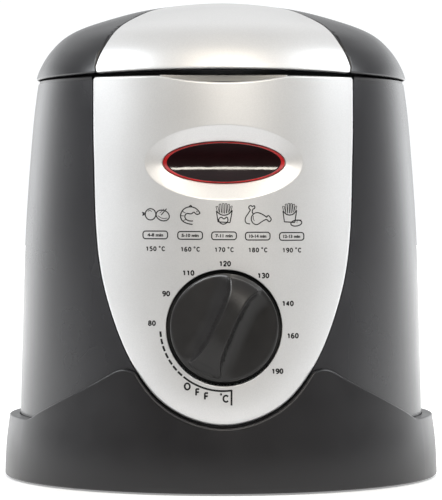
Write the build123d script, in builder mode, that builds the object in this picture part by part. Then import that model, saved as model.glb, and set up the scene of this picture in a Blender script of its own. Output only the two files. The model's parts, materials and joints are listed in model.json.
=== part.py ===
from build123d import *
import os
from math import sin, cos, radians, hypot

# Compact deep fryer, millimetres.  +Z up, front towards -Y, origin on the
# floor under the axis of the round body.

os.makedirs("parts", exist_ok=True)

# ---------------------------------------------------------------- dimensions
HEIGHT = 222.4          # floor to top of the lid
BASE_R = 102.0          # foot of the base skirt
FOOT_H = 1.6            # gap under the skirt, filled by the rubber feet
BASE_TOP = 29.4         # ledge of the skirt at the sides and back
WALL = 2.4              # moulded wall of the body and the lid
PANEL_T = 2.6           # wall of the silver front panel
BODY_TOP = 184.0
COLLAR_TOP = 185.7
LID_RIM = 186.1         # lower edge of the lid
HINGE_Y, HINGE_Z = 95.0, 190.0
HINGE_PIN_R = 2.0
KNOB_Z = 73.6           # height of the dial axis on the panel
KNOB_Y = -94.9          # panel surface at the dial axis
KNOB_TILT = 3.5         # the dial faces slightly upwards, square to the panel
KNOB_R = 23.9
DIAL_HOLE_R = 25.6
SHAFT_R = 3.0
POINTER = 24.8          # resting pointer angle, clockwise from the top
LENS_Z = 146.6
LENS_A, LENS_B = 27.1, 9.2       # half axes of the lens
SCOOP_A, SCOOP_B = 34.2, 16.2    # half axes of the hollow round the lens
BOWL_R = 66.3           # inside radius of the oil bowl
BOWL_FLOOR = 97.2
BASKET_R = 61.5         # outside radius of the basket
BASKET_BOTTOM = 99.0
BASKET_TOP = 172.0
PIVOT_Y, PIVOT_Z = -56.5, 177.0  # basket handle pivot
HANDLE_DIP = 42.0       # folded handle points back and down
HANDLE_L = 72.0
CORD_R = 3.7            # bore of the cord gland
GLAND_Z = 16.0
GLAND_END = 110.0       # rearmost point
FOOT_POS = [(62.5, 62.5), (-62.5, 62.5), (-62.5, -62.5), (62.5, -62.5)]
SCREW_POS = [(88.0 * cos(radians(a)), 88.0 * sin(radians(a))) for a in (15, 165, 205, 335)]

# outer profiles, (radius, height)
BODY = [(94.9, 6.0), (94.8, 26.0), (94.4, 50.0), (93.6, 78.0), (92.6, 108.0),
        (91.2, 133.0), (89.6, 154.0), (87.75, 173.0), (86.2, BODY_TOP)]
PANEL = [(98.9, 28.0), (98.2, 39.0), (97.4, 48.0), (95.7, 73.5), (94.0, 106.0),
         (92.2, 131.0), (90.5, 152.0), (88.7, 171.0), (87.2, 185.2)]
SKIRT = [(BASE_R, FOOT_H), (101.9, 7.0), (101.5, 15.0), (100.9, 21.0), (100.1, 27.0),
         (99.4, 33.0), (98.3, 42.0), (97.2, 50.0), (96.3, 58.0)]
LID = [(87.2, LID_RIM), (86.3, 189.2), (84.6, 192.9), (82.2, 197.0), (79.2, 200.8),
       (75.4, 204.6), (70.0, 208.2), (62.5, 211.4), (54.2, 214.1), (42.0, 217.5),
       (29.4, 219.9), (16.0, 221.6), (6.0, 222.3), (0.0, HEIGHT)]

# silver panel outline seen from the front, right half, (x, z)
OUTLINE = [(58.4, 166.0), (58.0, 145.0), (57.2, 121.0), (54.2, 95.1), (49.3, 77.3),
           (42.0, 59.8), (36.7, 51.1), (29.5, 42.4), (15.7, 33.8), (0.0, 30.6)]
# top edge of the base apron seen from the front, right half
APRON = [(88.5, 29.9), (84.5, 32.9), (79.0, 36.3), (72.0, 40.4), (64.5, 44.6),
         (56.5, 49.2), (51.0, 52.5), (47.5, 54.3), (44.2, 54.8), (41.0, 53.9)]
# silver tongue of the lid seen from above, right half, (x, y)
TONGUE = [(57.6, -64.0), (56.4, -62.6), (54.2, -60.6), (51.8, -58.0), (48.2, -53.0),
          (44.9, -47.6), (40.6, -40.0), (36.0, -31.5), (30.0, -21.5), (22.0, -11.0),
          (11.5, -2.6), (0.0, 0.8)]
# lower edge of the lid at the front, right half, (x, z)
ARCH = [(87.3, LID_RIM), (75.0, 186.6), (61.5, 187.2), (40.0, 188.1), (19.6, 188.6), (0.0, 188.75)]


def inset(points, t):
    """Points moved t to the left of their direction of travel."""
    out = []
    for i, (a, b) in enumerate(points):
        p = points[max(i - 1, 0)]
        q = points[min(i + 1, len(points) - 1)]
        dx, dy = q[0] - p[0], q[1] - p[1]
        n = hypot(dx, dy)
        out.append((a - t * dy / n, b + t * dx / n))
    return out


def mirrored(points):
    """A right half followed by its mirror image in the second axis."""
    return points + [(-x, y) for x, y in reversed(points[:-1])]


def ring_profile(outer, inner):
    """Closed profile between an outer and an inner curve, both bottom to top."""
    Spline(*outer)
    Line(outer[-1], inner[-1])
    Spline(*reversed(inner))
    Line(inner[0], outer[0])


def panel_outline(d, top):
    """Closed U outline of the panel grown by d, open end at height top."""
    half = inset(OUTLINE, d)
    half[-1] = (0.0, OUTLINE[-1][1] - d)
    pts = mirrored(half)
    Spline(*pts, tangents=[(0.0, -1.0), (0.0, 1.0)])
    Polyline(pts[-1], (pts[-1][0], top), (pts[0][0], top), pts[0])


DIAL = Plane(origin=(0, KNOB_Y, KNOB_Z), x_dir=(1, 0, 0),
             z_dir=(0, -cos(radians(KNOB_TILT)), sin(radians(KNOB_TILT))))
HANDLE = Plane(origin=(0, PIVOT_Y, PIVOT_Z), x_dir=(1, 0, 0),
               z_dir=(0, cos(radians(HANDLE_DIP)), -sin(radians(HANDLE_DIP))))

# ------------------------------------------------------------------ base
with BuildPart() as base_ring:
    with BuildSketch(Plane.XZ):
        with BuildLine():
            Spline(*SKIRT)
            Polyline(SKIRT[-1], (94.7, 58.0), (95.2, 26.4), (97.4, 26.4), (98.2, 20.0),
                     (99.35, 7.0), (99.4, FOOT_H), SKIRT[0])
        make_face()
    revolve(axis=Axis.Z)
    # everything above the ledge goes at the back
    with BuildSketch(Plane.XY.offset(BASE_TOP)):
        with Locations((0, 60)):
            Rectangle(240, 120)
    extrude(amount=60, mode=Mode.SUBTRACT)
    # apron line at the front
    with BuildSketch(Plane.XZ):
        with BuildLine():
            pts = [(104.0, BASE_TOP)] + APRON
            Spline(*APRON, tangents=[(-1.0, 0.35), (-1.0, -0.5)])
            Polyline(APRON[-1], (34.0, 50.0), (-34.0, 50.0), (-APRON[-1][0], APRON[-1][1]))
            Spline(*[(-x, z) for x, z in reversed(APRON)], tangents=[(-1.0, 0.5), (-1.0, -0.35)])
            Polyline((-APRON[0][0], APRON[0][1]), (-90.2, BASE_TOP), (-115.0, BASE_TOP), (-115.0, 80.0),
                     (115.0, 80.0), (115.0, BASE_TOP), (90.2, BASE_TOP), APRON[0])
        make_face()
    extrude(amount=130, mode=Mode.SUBTRACT)
    # notch for the silver panel
    with BuildSketch(Plane.XZ.offset(40)):
        with BuildLine():
            panel_outline(1.3, 200.0)
        make_face()
    extrude(amount=80, mode=Mode.SUBTRACT)
    # square hole for the cord gland, so it can't turn
    with BuildSketch(Plane.XZ.offset(-90)):
        with Locations((0, GLAND_Z)):
            RectangleRounded(14.2, 14.2, 1.6)
    extrude(amount=-20, mode=Mode.SUBTRACT)
base_ring.part.label = "base_ring"
export_step(base_ring.part, "parts/base_ring.step")

with BuildPart() as base_plate:
    with BuildSketch(Plane.XY.offset(3.2)):
        Circle(99.0)
        with Locations(*FOOT_POS):
            Circle(2.5, mode=Mode.SUBTRACT)
        with Locations(*SCREW_POS):
            Circle(2.0, mode=Mode.SUBTRACT)
        with GridLocations(0, 9.0, 1, 7):
            SlotOverall(46, 3.0, mode=Mode.SUBTRACT)
    extrude(amount=2.4)
    # stiffening rim
    with BuildSketch(Plane.XY.offset(5.6)):
        Circle(70.0)
        Circle(67.5, mode=Mode.SUBTRACT)
    extrude(amount=5.0)
base_plate.part.label = "base_plate"
export_step(base_plate.part, "parts/base_plate.step")

with BuildPart() as rubber_feet:
    with BuildSketch(Plane.XY):
        with Locations(*FOOT_POS):
            Circle(8.0)
    extrude(amount=3.2)
    chamfer(rubber_feet.edges().group_by(Axis.Z)[0], 0.5)
    with BuildSketch(Plane.XY.offset(3.2)):
        with Locations(*FOOT_POS):
            Circle(2.5)
    extrude(amount=3.8)
rubber_feet.part.label = "rubber_feet"
export_step(rubber_feet.part, "parts/rubber_feet.step")

with BuildPart() as base_screws:
    with BuildSketch(Plane.XY.offset(1.9)):
        with Locations(*SCREW_POS):
            Circle(3.6)
            Rectangle(4.2, 0.9, mode=Mode.SUBTRACT)
            Rectangle(0.9, 4.2, mode=Mode.SUBTRACT)
    extrude(amount=1.3)
    with BuildSketch(Plane.XY.offset(2.8)):
        with Locations(*SCREW_POS):
            Circle(1.95)
    extrude(amount=15.0)
base_screws.part.label = "base_screws"
export_step(base_screws.part, "parts/base_screws.step")

# ------------------------------------------------------------------ body
BODY_IN = [(r - WALL, z) for r, z in BODY]
with BuildPart() as body_shell:
    with BuildSketch(Plane.XZ):
        with BuildLine():
            ring_profile(BODY, BODY_IN)
        make_face()
    revolve(axis=Axis.Z)
    # screw posts
    with BuildSketch(Plane.XY.offset(6.0)):
        with Locations(*SCREW_POS):
            Circle(5.6)
    extrude(amount=20)
    # keep the posts inside the outer face
    with BuildSketch(Plane.XZ):
        with BuildLine():
            Spline(*BODY)
            Polyline(BODY[-1], (0, BODY_TOP), (0, 6.0), BODY[0])
        make_face()
    revolve(axis=Axis.Z, mode=Mode.INTERSECT)
    with BuildSketch(Plane.XY.offset(6.0)):
        with Locations(*SCREW_POS):
            Circle(1.95)
    extrude(amount=14, mode=Mode.SUBTRACT)
    # opening for the silver panel
    with BuildSketch(Plane.XZ.offset(40)):
        with BuildLine():
            panel_outline(0.45, 200.0)
        make_face()
    extrude(amount=80, mode=Mode.SUBTRACT)
    # room for the cord gland and its nut
    with BuildSketch(Plane.XZ.offset(-80)):
        with Locations((0, GLAND_Z)):
            RectangleRounded(27, 27, 3)
    extrude(amount=-30, mode=Mode.SUBTRACT)
    # holes for the screws of the hinge bracket
    with BuildSketch(Plane.XZ.offset(-75)):
        with Locations((-12, 169), (12, 169)):
            Circle(1.7)
    extrude(amount=-30, mode=Mode.SUBTRACT)
body_shell.part.label = "body_shell"
export_step(body_shell.part, "parts/body_shell.step")

# band just inside the panel's edge: return wall and snap-in flange
with BuildPart() as panel_edge:
    with BuildSketch(Plane.XZ):
        with BuildLine():
            Spline(*PANEL)
            Line(PANEL[-1], (83.2, 185.2))
            Spline(*reversed([(r - 4.1, z) for r, z in BODY[1:-1]] + [(83.2, 185.2)]))
            Polyline((BODY[1][0] - 4.1, BODY[1][1]), (BODY[1][0] - 4.1, 25.0), (PANEL[0][0], 25.0), PANEL[0])
        make_face()
    revolve(axis=Axis.Z, revolution_arc=360)
    with BuildSketch(Plane.XZ.offset(40)):
        with BuildLine():
            panel_outline(0.0, 185.2)
        make_face()
        with BuildLine():
            panel_outline(-2.6, 190.0)
        make_face(mode=Mode.SUBTRACT)
    extrude(amount=80, mode=Mode.INTERSECT)

with BuildPart() as panel_flange:
    with BuildSketch(Plane.XZ):
        with BuildLine():
            ring_profile([(r - WALL - 0.15, z) for r, z in BODY[1:]], [(r - 4.1, z) for r, z in BODY[1:]])
        make_face()
    revolve(axis=Axis.Z)
    with BuildSketch(Plane.XZ.offset(40)):
        with BuildLine():
            panel_outline(4.0, 179.0)
        make_face()
        with BuildLine():
            panel_outline(-2.6, 190.0)
        make_face(mode=Mode.SUBTRACT)
    extrude(amount=80, mode=Mode.INTERSECT)

with BuildPart() as front_panel:
    with BuildSketch(Plane.XZ):
        with BuildLine():
            ring_profile(PANEL, [(r - PANEL_T, z) for r, z in PANEL])
        make_face()
    revolve(axis=Axis.Z)
    with BuildSketch(Plane.XZ.offset(40)):
        with BuildLine():
            panel_outline(0.0, 185.2)
        make_face()
    extrude(amount=80, mode=Mode.INTERSECT)
    add(panel_edge.part)
    add(panel_flange.part)
    # raised back of the lens hollow and of the dial pocket
    with BuildSketch(Plane.XZ.offset(83.0)):
        with Locations((0, LENS_Z)):
            Ellipse(SCOOP_A + 1.5, SCOOP_B + 1.5)
            Ellipse(LENS_A - 2.2, LENS_B - 2.2, mode=Mode.SUBTRACT)
    extrude(amount=4.6)
    with BuildSketch(DIAL.offset(-9.0)):
        Circle(29.0)
        Circle(9.2, mode=Mode.SUBTRACT)
    extrude(amount=6.4)
    # hollow round the lens
    with BuildSketch(Plane.XZ.offset(86.4)):
        with Locations((0, LENS_Z)):
            Ellipse(LENS_A + 0.8, LENS_B + 0.8)
    with BuildSketch(Plane.XZ.offset(94.4)):
        with Locations((0, LENS_Z + 3.7)):
            Ellipse(SCOOP_A + 3.8, SCOOP_B + 6.3)
    loft(mode=Mode.SUBTRACT)
    with BuildSketch(Plane.XZ.offset(84.6)):
        with Locations((0, LENS_Z)):
            Ellipse(LENS_A + 0.1, LENS_B + 0.1)
    extrude(amount=12, mode=Mode.SUBTRACT)
    # dial pocket
    with BuildSketch(DIAL.offset(-5.5)):
        Circle(DIAL_HOLE_R)
    extrude(amount=14, mode=Mode.SUBTRACT)
    # pilot holes for the bracket screws
    with BuildSketch(DIAL.offset(-9.2)):
        with Locations((-20, 0), (20, 0)):
            Circle(1.5)
    extrude(amount=2.8, mode=Mode.SUBTRACT)
    # finger scoop in the top edge
    with BuildSketch(Plane.XZ.offset(76)):
        with BuildLine():
            ThreePointArc((-29.0, 185.3), (0, 182.2), (29.0, 185.3))
            Polyline((29.0, 185.3), (29.0, 189.0), (-29.0, 189.0), (-29.0, 185.3))
        make_face()
    extrude(amount=16, mode=Mode.SUBTRACT)
front_panel.part.label = "front_panel"
export_step(front_panel.part, "parts/front_panel.step")

with BuildPart() as indicator_lens:
    with BuildSketch(Plane.XZ.offset(84.6)):
        with Locations((0, LENS_Z)):
            Ellipse(LENS_A, LENS_B)
    with BuildSketch(Plane.XZ.offset(87.4)):
        with Locations((0, LENS_Z)):
            Ellipse(LENS_A - 0.3, LENS_B - 0.3)
    with BuildSketch(Plane.XZ.offset(89.0)):
        with Locations((0, LENS_Z)):
            Ellipse(LENS_A - 3.0, LENS_B - 2.6)
    loft(ruled=True)
indicator_lens.part.label = "indicator_lens"
export_step(indicator_lens.part, "parts/indicator_lens.step")

with BuildPart() as lamp_holder:
    with BuildSketch(Plane.XZ.offset(77.4)):
        with Locations((0, LENS_Z)):
            RectangleRounded(58, 15, 3)
        with Locations((-11, LENS_Z), (11, LENS_Z)):
            Circle(3.0, mode=Mode.SUBTRACT)
    extrude(amount=2.0)
    with BuildSketch(Plane.XZ.offset(79.4)):
        with Locations((-27, LENS_Z), (27, LENS_Z)):
            Rectangle(3, 10)
    extrude(amount=3.6)
lamp_holder.part.label = "lamp_holder"
export_step(lamp_holder.part, "parts/lamp_holder.step")

with BuildPart() as indicator_lamps:
    with BuildSketch(Plane.XZ.offset(75.6)):
        with Locations((-11, LENS_Z), (11, LENS_Z)):
            Circle(3.0)
    extrude(amount=8.4)
    fillet(indicator_lamps.faces().sort_by(Axis.Y)[0].edges(), 2.4)
indicator_lamps.part.label = "indicator_lamps"
export_step(indicator_lamps.part, "parts/indicator_lamps.step")

# ------------------------------------------------------------------ collar and bowl
with BuildPart() as rim_collar:
    with BuildSketch(Plane.XZ):
        with BuildLine():
            Polyline((70.6, 182.0), (81.6, 182.0), (81.6, 179.5), (83.2, 179.5), (83.2, 184.05),
                     (85.7, 184.05), (85.7, 185.2), (85.2, COLLAR_TOP), (74.7, COLLAR_TOP),
                     (74.7, 184.0), (70.6, 184.0), close=True)
        make_face()
    revolve(axis=Axis.Z)
    # cut back behind the silver panel
    with BuildSketch(Plane.XY.offset(170)):
        with BuildLine():
            Polyline((-59.2, -40), (-59.2, -120), (59.2, -120), (59.2, -40), close=True)
        make_face()
        Circle(83.1, mode=Mode.SUBTRACT)
    extrude(amount=30, mode=Mode.SUBTRACT)
    # finger gap under the front of the lid
    with BuildSketch(Plane.XY.offset(182.6)):
        with Locations((0, -84.5)):
            Rectangle(58, 11)
    extrude(amount=10, mode=Mode.SUBTRACT)
rim_collar.part.label = "rim_collar"
export_step(rim_collar.part, "parts/rim_collar.step")

with BuildPart() as bowl_seal:
    with BuildSketch(Plane.XY.offset(184.0)):
        Circle(74.0)
        Circle(71.0, mode=Mode.SUBTRACT)
    extrude(amount=0.6)
bowl_seal.part.label = "bowl_seal"
export_step(bowl_seal.part, "parts/bowl_seal.step")

with BuildPart() as inner_bowl:
    with BuildSketch(Plane.XZ):
        with BuildLine():
            Line((0, BOWL_FLOOR - 1.2), (BOWL_R - 8.8, BOWL_FLOOR - 1.2))
            RadiusArc((BOWL_R - 8.8, BOWL_FLOOR - 1.2), (BOWL_R + 1.2, BOWL_FLOOR + 8.8), -10.0)
            Polyline((BOWL_R + 1.2, BOWL_FLOOR + 8.8), (BOWL_R + 1.2, 184.6), (74.3, 184.6),
                     (74.3, 185.4), (73.9, 185.6), (BOWL_R + 0.6, 185.6), (BOWL_R, 185.0),
                     (BOWL_R, BOWL_FLOOR + 8.8))
            RadiusArc((BOWL_R, BOWL_FLOOR + 8.8), (BOWL_R - 8.8, BOWL_FLOOR), 8.8)
            Polyline((BOWL_R - 8.8, BOWL_FLOOR), (0, BOWL_FLOOR), (0, BOWL_FLOOR - 1.2))
        make_face()
    revolve(axis=Axis.Z)
inner_bowl.part.label = "inner_bowl"
export_step(inner_bowl.part, "parts/inner_bowl.step")

with BuildPart() as heat_shield:
    with BuildSketch(Plane.XZ):
        with BuildLine():
            Polyline((61.0, 91.0), (74.0, 91.0), (74.0, 181.9), (73.3, 181.9), (73.3, 91.7), (61.0, 91.7), close=True)
        make_face()
    revolve(axis=Axis.Z)
heat_shield.part.label = "heat_shield"
export_step(heat_shield.part, "parts/heat_shield.step")

with BuildPart() as heater_plate:
    with BuildSketch(Plane.XY.offset(91.5)):
        Circle(56.0)
        with PolarLocations(26.0, 3, 90):
            Circle(2.1, mode=Mode.SUBTRACT)
    extrude(amount=4.5)
    chamfer(heater_plate.edges().filter_by(GeomType.CIRCLE).sort_by(SortBy.RADIUS)[-1], 1.0)
heater_plate.part.label = "heater_plate"
export_step(heater_plate.part, "parts/heater_plate.step")

with BuildPart() as heating_element:
    with BuildLine() as element_path:
        CenterArc((0, 0, 88.2), 44.0, 105.0, 330.0)
    with BuildSketch(Plane(origin=element_path.line @ 0, z_dir=element_path.line % 0)):
        Circle(3.3)
    sweep()
    # cold ends turned down
    with BuildSketch(Plane.XY.offset(70.0)):
        with Locations((44.0 * cos(radians(105)), 44.0 * sin(radians(105))),
                       (44.0 * cos(radians(75)), 44.0 * sin(radians(75)))):
            Circle(3.3)
    extrude(amount=20.6)
heating_element.part.label = "heating_element"
export_step(heating_element.part, "parts/heating_element.step")

with BuildPart() as heater_nuts:
    with BuildSketch(Plane.XY.offset(82.0)):
        with PolarLocations(26.0, 3, 90):
            Circle(2.0)
    extrude(amount=14.0)
    with BuildSketch(Plane.XY.offset(88.0)):
        with PolarLocations(26.0, 3, 90):
            RegularPolygon(4.0, 6)
    extrude(amount=3.5)
heater_nuts.part.label = "heater_nuts"
export_step(heater_nuts.part, "parts/heater_nuts.step")

with BuildPart() as thermal_fuse:
    with BuildSketch(Plane.YZ.offset(-13)):
        with Locations((-28.0, 86.9)):
            Circle(4.0)
    extrude(amount=26)
thermal_fuse.part.label = "thermal_fuse"
export_step(thermal_fuse.part, "parts/thermal_fuse.step")

with BuildPart() as fuse_clamp:
    with BuildSketch(Plane.YZ.offset(-5)):
        with BuildLine():
            Polyline((-33.0, 91.4), (-33.0, 82.0), (-23.0, 82.0), (-23.0, 91.4), (-17.0, 91.4), (-17.0, 90.4),
                     (-22.0, 90.4), (-22.0, 81.0), (-34.0, 81.0), (-34.0, 90.4), (-39.0, 90.4), (-39.0, 91.4), close=True)
        make_face()
    extrude(amount=10)
fuse_clamp.part.label = "fuse_clamp"
export_step(fuse_clamp.part, "parts/fuse_clamp.step")

# ------------------------------------------------------------------ thermostat
with BuildPart() as thermostat_body:
    with BuildSketch(DIAL.offset(-36.0)):
        RectangleRounded(34, 28, 2.5)
    extrude(amount=24.4)
    with BuildSketch(DIAL.offset(-11.6)):
        Circle(5.0)
    extrude(amount=5.9)
    with BuildSketch(DIAL.offset(-26.0)):
        Circle(SHAFT_R + 0.05)
    extrude(amount=22, mode=Mode.SUBTRACT)
    with BuildSketch(DIAL.offset(-42.0)):
        with Locations((-9, 6), (9, 6)):
            Rectangle(6.3, 0.8)
    extrude(amount=6.0)
thermostat_body.part.label = "thermostat_body"
export_step(thermostat_body.part, "parts/thermostat_body.step")

with BuildPart() as thermostat_bracket:
    with BuildSketch(DIAL.offset(-10.8)):
        RectangleRounded(52, 22, 3)
        Circle(5.1, mode=Mode.SUBTRACT)
        with Locations((-20, 0), (20, 0)):
            Circle(1.8, mode=Mode.SUBTRACT)
    extrude(amount=1.5)
thermostat_bracket.part.label = "thermostat_bracket"
export_step(thermostat_bracket.part, "parts/thermostat_bracket.step")

with BuildPart() as thermostat_nut:
    with BuildSketch(DIAL.offset(-9.0)):
        RegularPolygon(8.3, 6)
        Circle(5.0, mode=Mode.SUBTRACT)
    extrude(amount=2.6)
thermostat_nut.part.label = "thermostat_nut"
export_step(thermostat_nut.part, "parts/thermostat_nut.step")

with BuildPart() as bracket_screws:
    with BuildSketch(DIAL.offset(-13.0)):
        with Locations((-20, 0), (20, 0)):
            Circle(3.0)
    extrude(amount=1.9)
    with BuildSketch(DIAL.offset(-11.3)):
        with Locations((-20, 0), (20, 0)):
            Circle(1.5)
    extrude(amount=4.8)
bracket_screws.part.label = "bracket_screws"
export_step(bracket_screws.part, "parts/bracket_screws.step")

with BuildPart() as sensor_bulb:
    with BuildSketch(Plane.YZ.offset(-26)):
        with Locations((2.0, 88.2)):
            Circle(3.0)
    extrude(amount=52)
    with BuildLine() as capillary:
        FilletPolyline((26.0, 2.0, 88.2), (32.0, 2.0, 88.2), (32.0, -12.0, 78.0), (12.0, -50.0, 76.0),
                       (12.0, -58.2, 75.4), radius=4.0)
    with BuildSketch(Plane(origin=capillary.line @ 0, z_dir=capillary.line % 0)):
        Circle(0.9)
    sweep()
sensor_bulb.part.label = "sensor_bulb"
export_step(sensor_bulb.part, "parts/sensor_bulb.step")

with BuildPart() as sensor_clip:
    with BuildSketch(Plane.YZ.offset(-18)):
        with BuildLine():
            Polyline((-1.4, 91.4), (-1.4, 84.8), (5.4, 84.8), (5.4, 91.4), (12.0, 91.4), (12.0, 90.6),
                     (6.2, 90.6), (6.2, 84.0), (-2.2, 84.0), (-2.2, 90.6), (-8.0, 90.6), (-8.0, 91.4), close=True)
        make_face()
    extrude(amount=12)
sensor_clip.part.label = "sensor_clip"
export_step(sensor_clip.part, "parts/sensor_clip.step")

with BuildPart() as thermostat_shaft:
    with BuildSketch(DIAL.offset(-25.0)):
        Circle(SHAFT_R)
    extrude(amount=32.0)
    # flat that drives the knob
    with BuildSketch(DIAL.offset(-3.0)):
        with Locations((0, 3.6)):
            Rectangle(8, 3.0)
    extrude(amount=11, mode=Mode.SUBTRACT)
thermostat_shaft.part.label = "thermostat_shaft"
export_step(thermostat_shaft.part, "parts/thermostat_shaft.step")

with BuildPart() as knob_sleeve:
    with BuildSketch(DIAL.offset(-3.0)):
        Circle(3.6)
        Circle(SHAFT_R, mode=Mode.SUBTRACT)
        with Locations((0, 3.6)):
            Rectangle(5.0, 3.0, mode=Mode.SUBTRACT)
    extrude(amount=9.0)
knob_sleeve.part.label = "knob_sleeve"
export_step(knob_sleeve.part, "parts/knob_sleeve.step")

with BuildPart() as control_knob:
    with BuildSketch(DIAL.offset(-4.9)):
        Circle(KNOB_R)
    extrude(amount=9.4)
    fillet(control_knob.edges().filter_by(GeomType.CIRCLE).sort_by(Axis.Y)[0], 2.4)
    # waisted finger bar, turned to the resting pointer angle
    with BuildSketch(DIAL.offset(3.6)):
        with BuildLine():
            t = radians(-POINTER)
            bar = [(8.4, 20.2), (4.9, 8.0), (4.9, -7.0), (8.6, -19.0), (-8.6, -19.0), (-4.9, -7.0), (-4.9, 8.0), (-8.4, 20.2)]
            q = [(x * cos(t) - y * sin(t), x * sin(t) + y * cos(t)) for x, y in bar]
            Spline(q[0], q[1], q[2], q[3])
            Line(q[3], q[4])
            Spline(q[4], q[5], q[6], q[7])
            Line(q[7], q[0])
        make_face()
    extrude(amount=10.34)
    fillet(control_knob.faces().sort_by(Axis.Y)[0].edges(), 1.2)
    # hollow behind the face, and the bore for the shaft
    with BuildSketch(DIAL.offset(-4.9)):
        Circle(KNOB_R - 2.4)
        Circle(7.0, mode=Mode.SUBTRACT)
    extrude(amount=6.0, mode=Mode.SUBTRACT)
    with BuildSketch(DIAL.offset(-4.9)):
        Circle(3.6)
    extrude(amount=12.4, mode=Mode.SUBTRACT)
control_knob.part.label = "control_knob"
export_step(control_knob.part, "parts/control_knob.step")

# ------------------------------------------------------------------ mains side
with BuildPart() as cord_gland:
    with BuildSketch(Plane.XZ.offset(-90.0)):
        with Locations((0, GLAND_Z)):
            Circle(6.9)
    extrude(amount=-12.0)
    with BuildSketch(Plane.XZ.offset(-97.6)):
        with Locations((0, GLAND_Z)):
            RectangleRounded(14.0, 14.0, 1.5)
    extrude(amount=-4.4)
    with BuildSketch(Plane.XZ.offset(-102.0)):
        with Locations((0, GLAND_Z)):
            Circle(10.0)
    extrude(amount=-3.5)
    with BuildSketch(Plane.XZ.offset(-105.5)):
        with Locations((0, GLAND_Z)):
            Circle(8.4)
    extrude(amount=-(GLAND_END - 105.5))
    fillet(cord_gland.faces().sort_by(Axis.Y)[-1].edges(), 1.8)
    with BuildSketch(Plane.XZ.offset(-80.0)):
        with Locations((0, GLAND_Z)):
            Circle(CORD_R)
    extrude(amount=-40.0, mode=Mode.SUBTRACT)
cord_gland.part.label = "cord_gland"
export_step(cord_gland.part, "parts/cord_gland.step")

with BuildPart() as gland_nut:
    with BuildSketch(Plane.XZ.offset(-92.4)):
        with Locations((0, GLAND_Z)):
            RegularPolygon(9.5, 6)
            Circle(6.9, mode=Mode.SUBTRACT)
    extrude(amount=-4.0)
gland_nut.part.label = "gland_nut"
export_step(gland_nut.part, "parts/gland_nut.step")

with BuildPart() as terminal_block:
    with BuildSketch(Plane.XY.offset(5.6)):
        with Locations((30, 36)):
            RectangleRounded(34, 16, 1.5)
    extrude(amount=17.0)
    with BuildSketch(Plane.XY.offset(22.6)):
        with Locations((20, 36), (30, 36), (40, 36)):
            Circle(2.6)
    extrude(amount=-3.0, mode=Mode.SUBTRACT)
terminal_block.part.label = "terminal_block"
export_step(terminal_block.part, "parts/terminal_block.step")

with BuildPart() as internal_wires:
    for r, bend, route in (
            (1.1, 5.0, [(20, 36, 19.6), (20, 36, 48), (-11.4, 42.5, 56), (-11.4, 42.5, 70)]),
            (1.1, 5.0, [(30, 36, 19.6), (30, 36, 40), (18, -20, 58), (9, -38, 77), (9, -52.4, 77)]),
            (0.7, 5.0, [(40, 36, 19.6), (40, 36, 32), (61, -50, 60), (61, -50, 128), (42, -70, 146.6),
                        (30, -76.5, 146.6), (14.05, -76.5, 146.6)])):
        with BuildLine() as wire:
            FilletPolyline(*route, radius=bend)
        with BuildSketch(Plane(origin=wire.line @ 0, z_dir=wire.line % 0)):
            Circle(r)
        sweep(path=wire.line)
    # jumper between the two lamps
    with BuildSketch(Plane.YZ.offset(-7.95)):
        with Locations((-76.5, LENS_Z)):
            Circle(0.7)
    extrude(amount=15.9)
internal_wires.part.label = "internal_wires"
export_step(internal_wires.part, "parts/internal_wires.step")

# ------------------------------------------------------------------ hinge
with BuildPart() as hinge_bracket:
    with BuildSketch(Plane.YZ.offset(-19.2)):
        with BuildLine():
            Polyline((80.0, 160.0), (91.5, 160.0), (97.5, 166.0), (100.0, 173.0), (100.0, 190.0))
            ThreePointArc((100.0, 190.0), (95.0, 195.0), (90.0, 190.0))
            Polyline((90.0, 190.0), (90.0, 183.5), (80.0, 183.5), (80.0, 160.0))
        make_face()
    extrude(amount=38.4)
    # room for the lid's knuckle between the ears
    with BuildSketch(Plane.XY.offset(183.5)):
        with Locations((0, 95)):
            Rectangle(26.4, 30)
    extrude(amount=20, mode=Mode.SUBTRACT)
    with BuildSketch(Plane.XZ):
        with BuildLine():
            Spline(*BODY)
            Polyline(BODY[-1], (0, BODY_TOP), (0, 6.0), BODY[0])
        make_face()
    revolve(axis=Axis.Z, mode=Mode.SUBTRACT)
    with BuildSketch(Plane.YZ.offset(-30)):
        with Locations((HINGE_Y, HINGE_Z)):
            Circle(HINGE_PIN_R)
    extrude(amount=60, mode=Mode.SUBTRACT)
    with BuildSketch(Plane.XZ.offset(-80)):
        with Locations((-12, 169), (12, 169)):
            Circle(1.7)
    extrude(amount=-30, mode=Mode.SUBTRACT)
    with BuildSketch(Plane.XZ.offset(-97.4)):
        with Locations((-12, 169), (12, 169)):
            Circle(3.4)
    extrude(amount=-10, mode=Mode.SUBTRACT)
hinge_bracket.part.label = "hinge_bracket"
export_step(hinge_bracket.part, "parts/hinge_bracket.step")

with BuildPart() as hinge_pin:
    with BuildSketch(Plane.YZ.offset(-19.2)):
        with Locations((HINGE_Y, HINGE_Z)):
            Circle(HINGE_PIN_R)
    extrude(amount=38.8)
    with BuildSketch(Plane.YZ.offset(-20.4)):
        with Locations((HINGE_Y, HINGE_Z)):
            Circle(3.2)
    extrude(amount=1.2)
hinge_pin.part.label = "hinge_pin"
export_step(hinge_pin.part, "parts/hinge_pin.step")

with BuildPart() as hinge_screws:
    with BuildSketch(Plane.XZ.offset(-82.0)):
        with Locations((-12, 169), (12, 169)):
            Circle(1.65)
    extrude(amount=-16.0)
    with BuildSketch(Plane.XZ.offset(-97.4)):
        with Locations((-12, 169), (12, 169)):
            Circle(3.2)
            Rectangle(3.8, 0.9, mode=Mode.SUBTRACT)
            Rectangle(0.9, 3.8, mode=Mode.SUBTRACT)
    extrude(amount=-1.6)
hinge_screws.part.label = "hinge_screws"
export_step(hinge_screws.part, "parts/hinge_screws.step")

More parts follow.
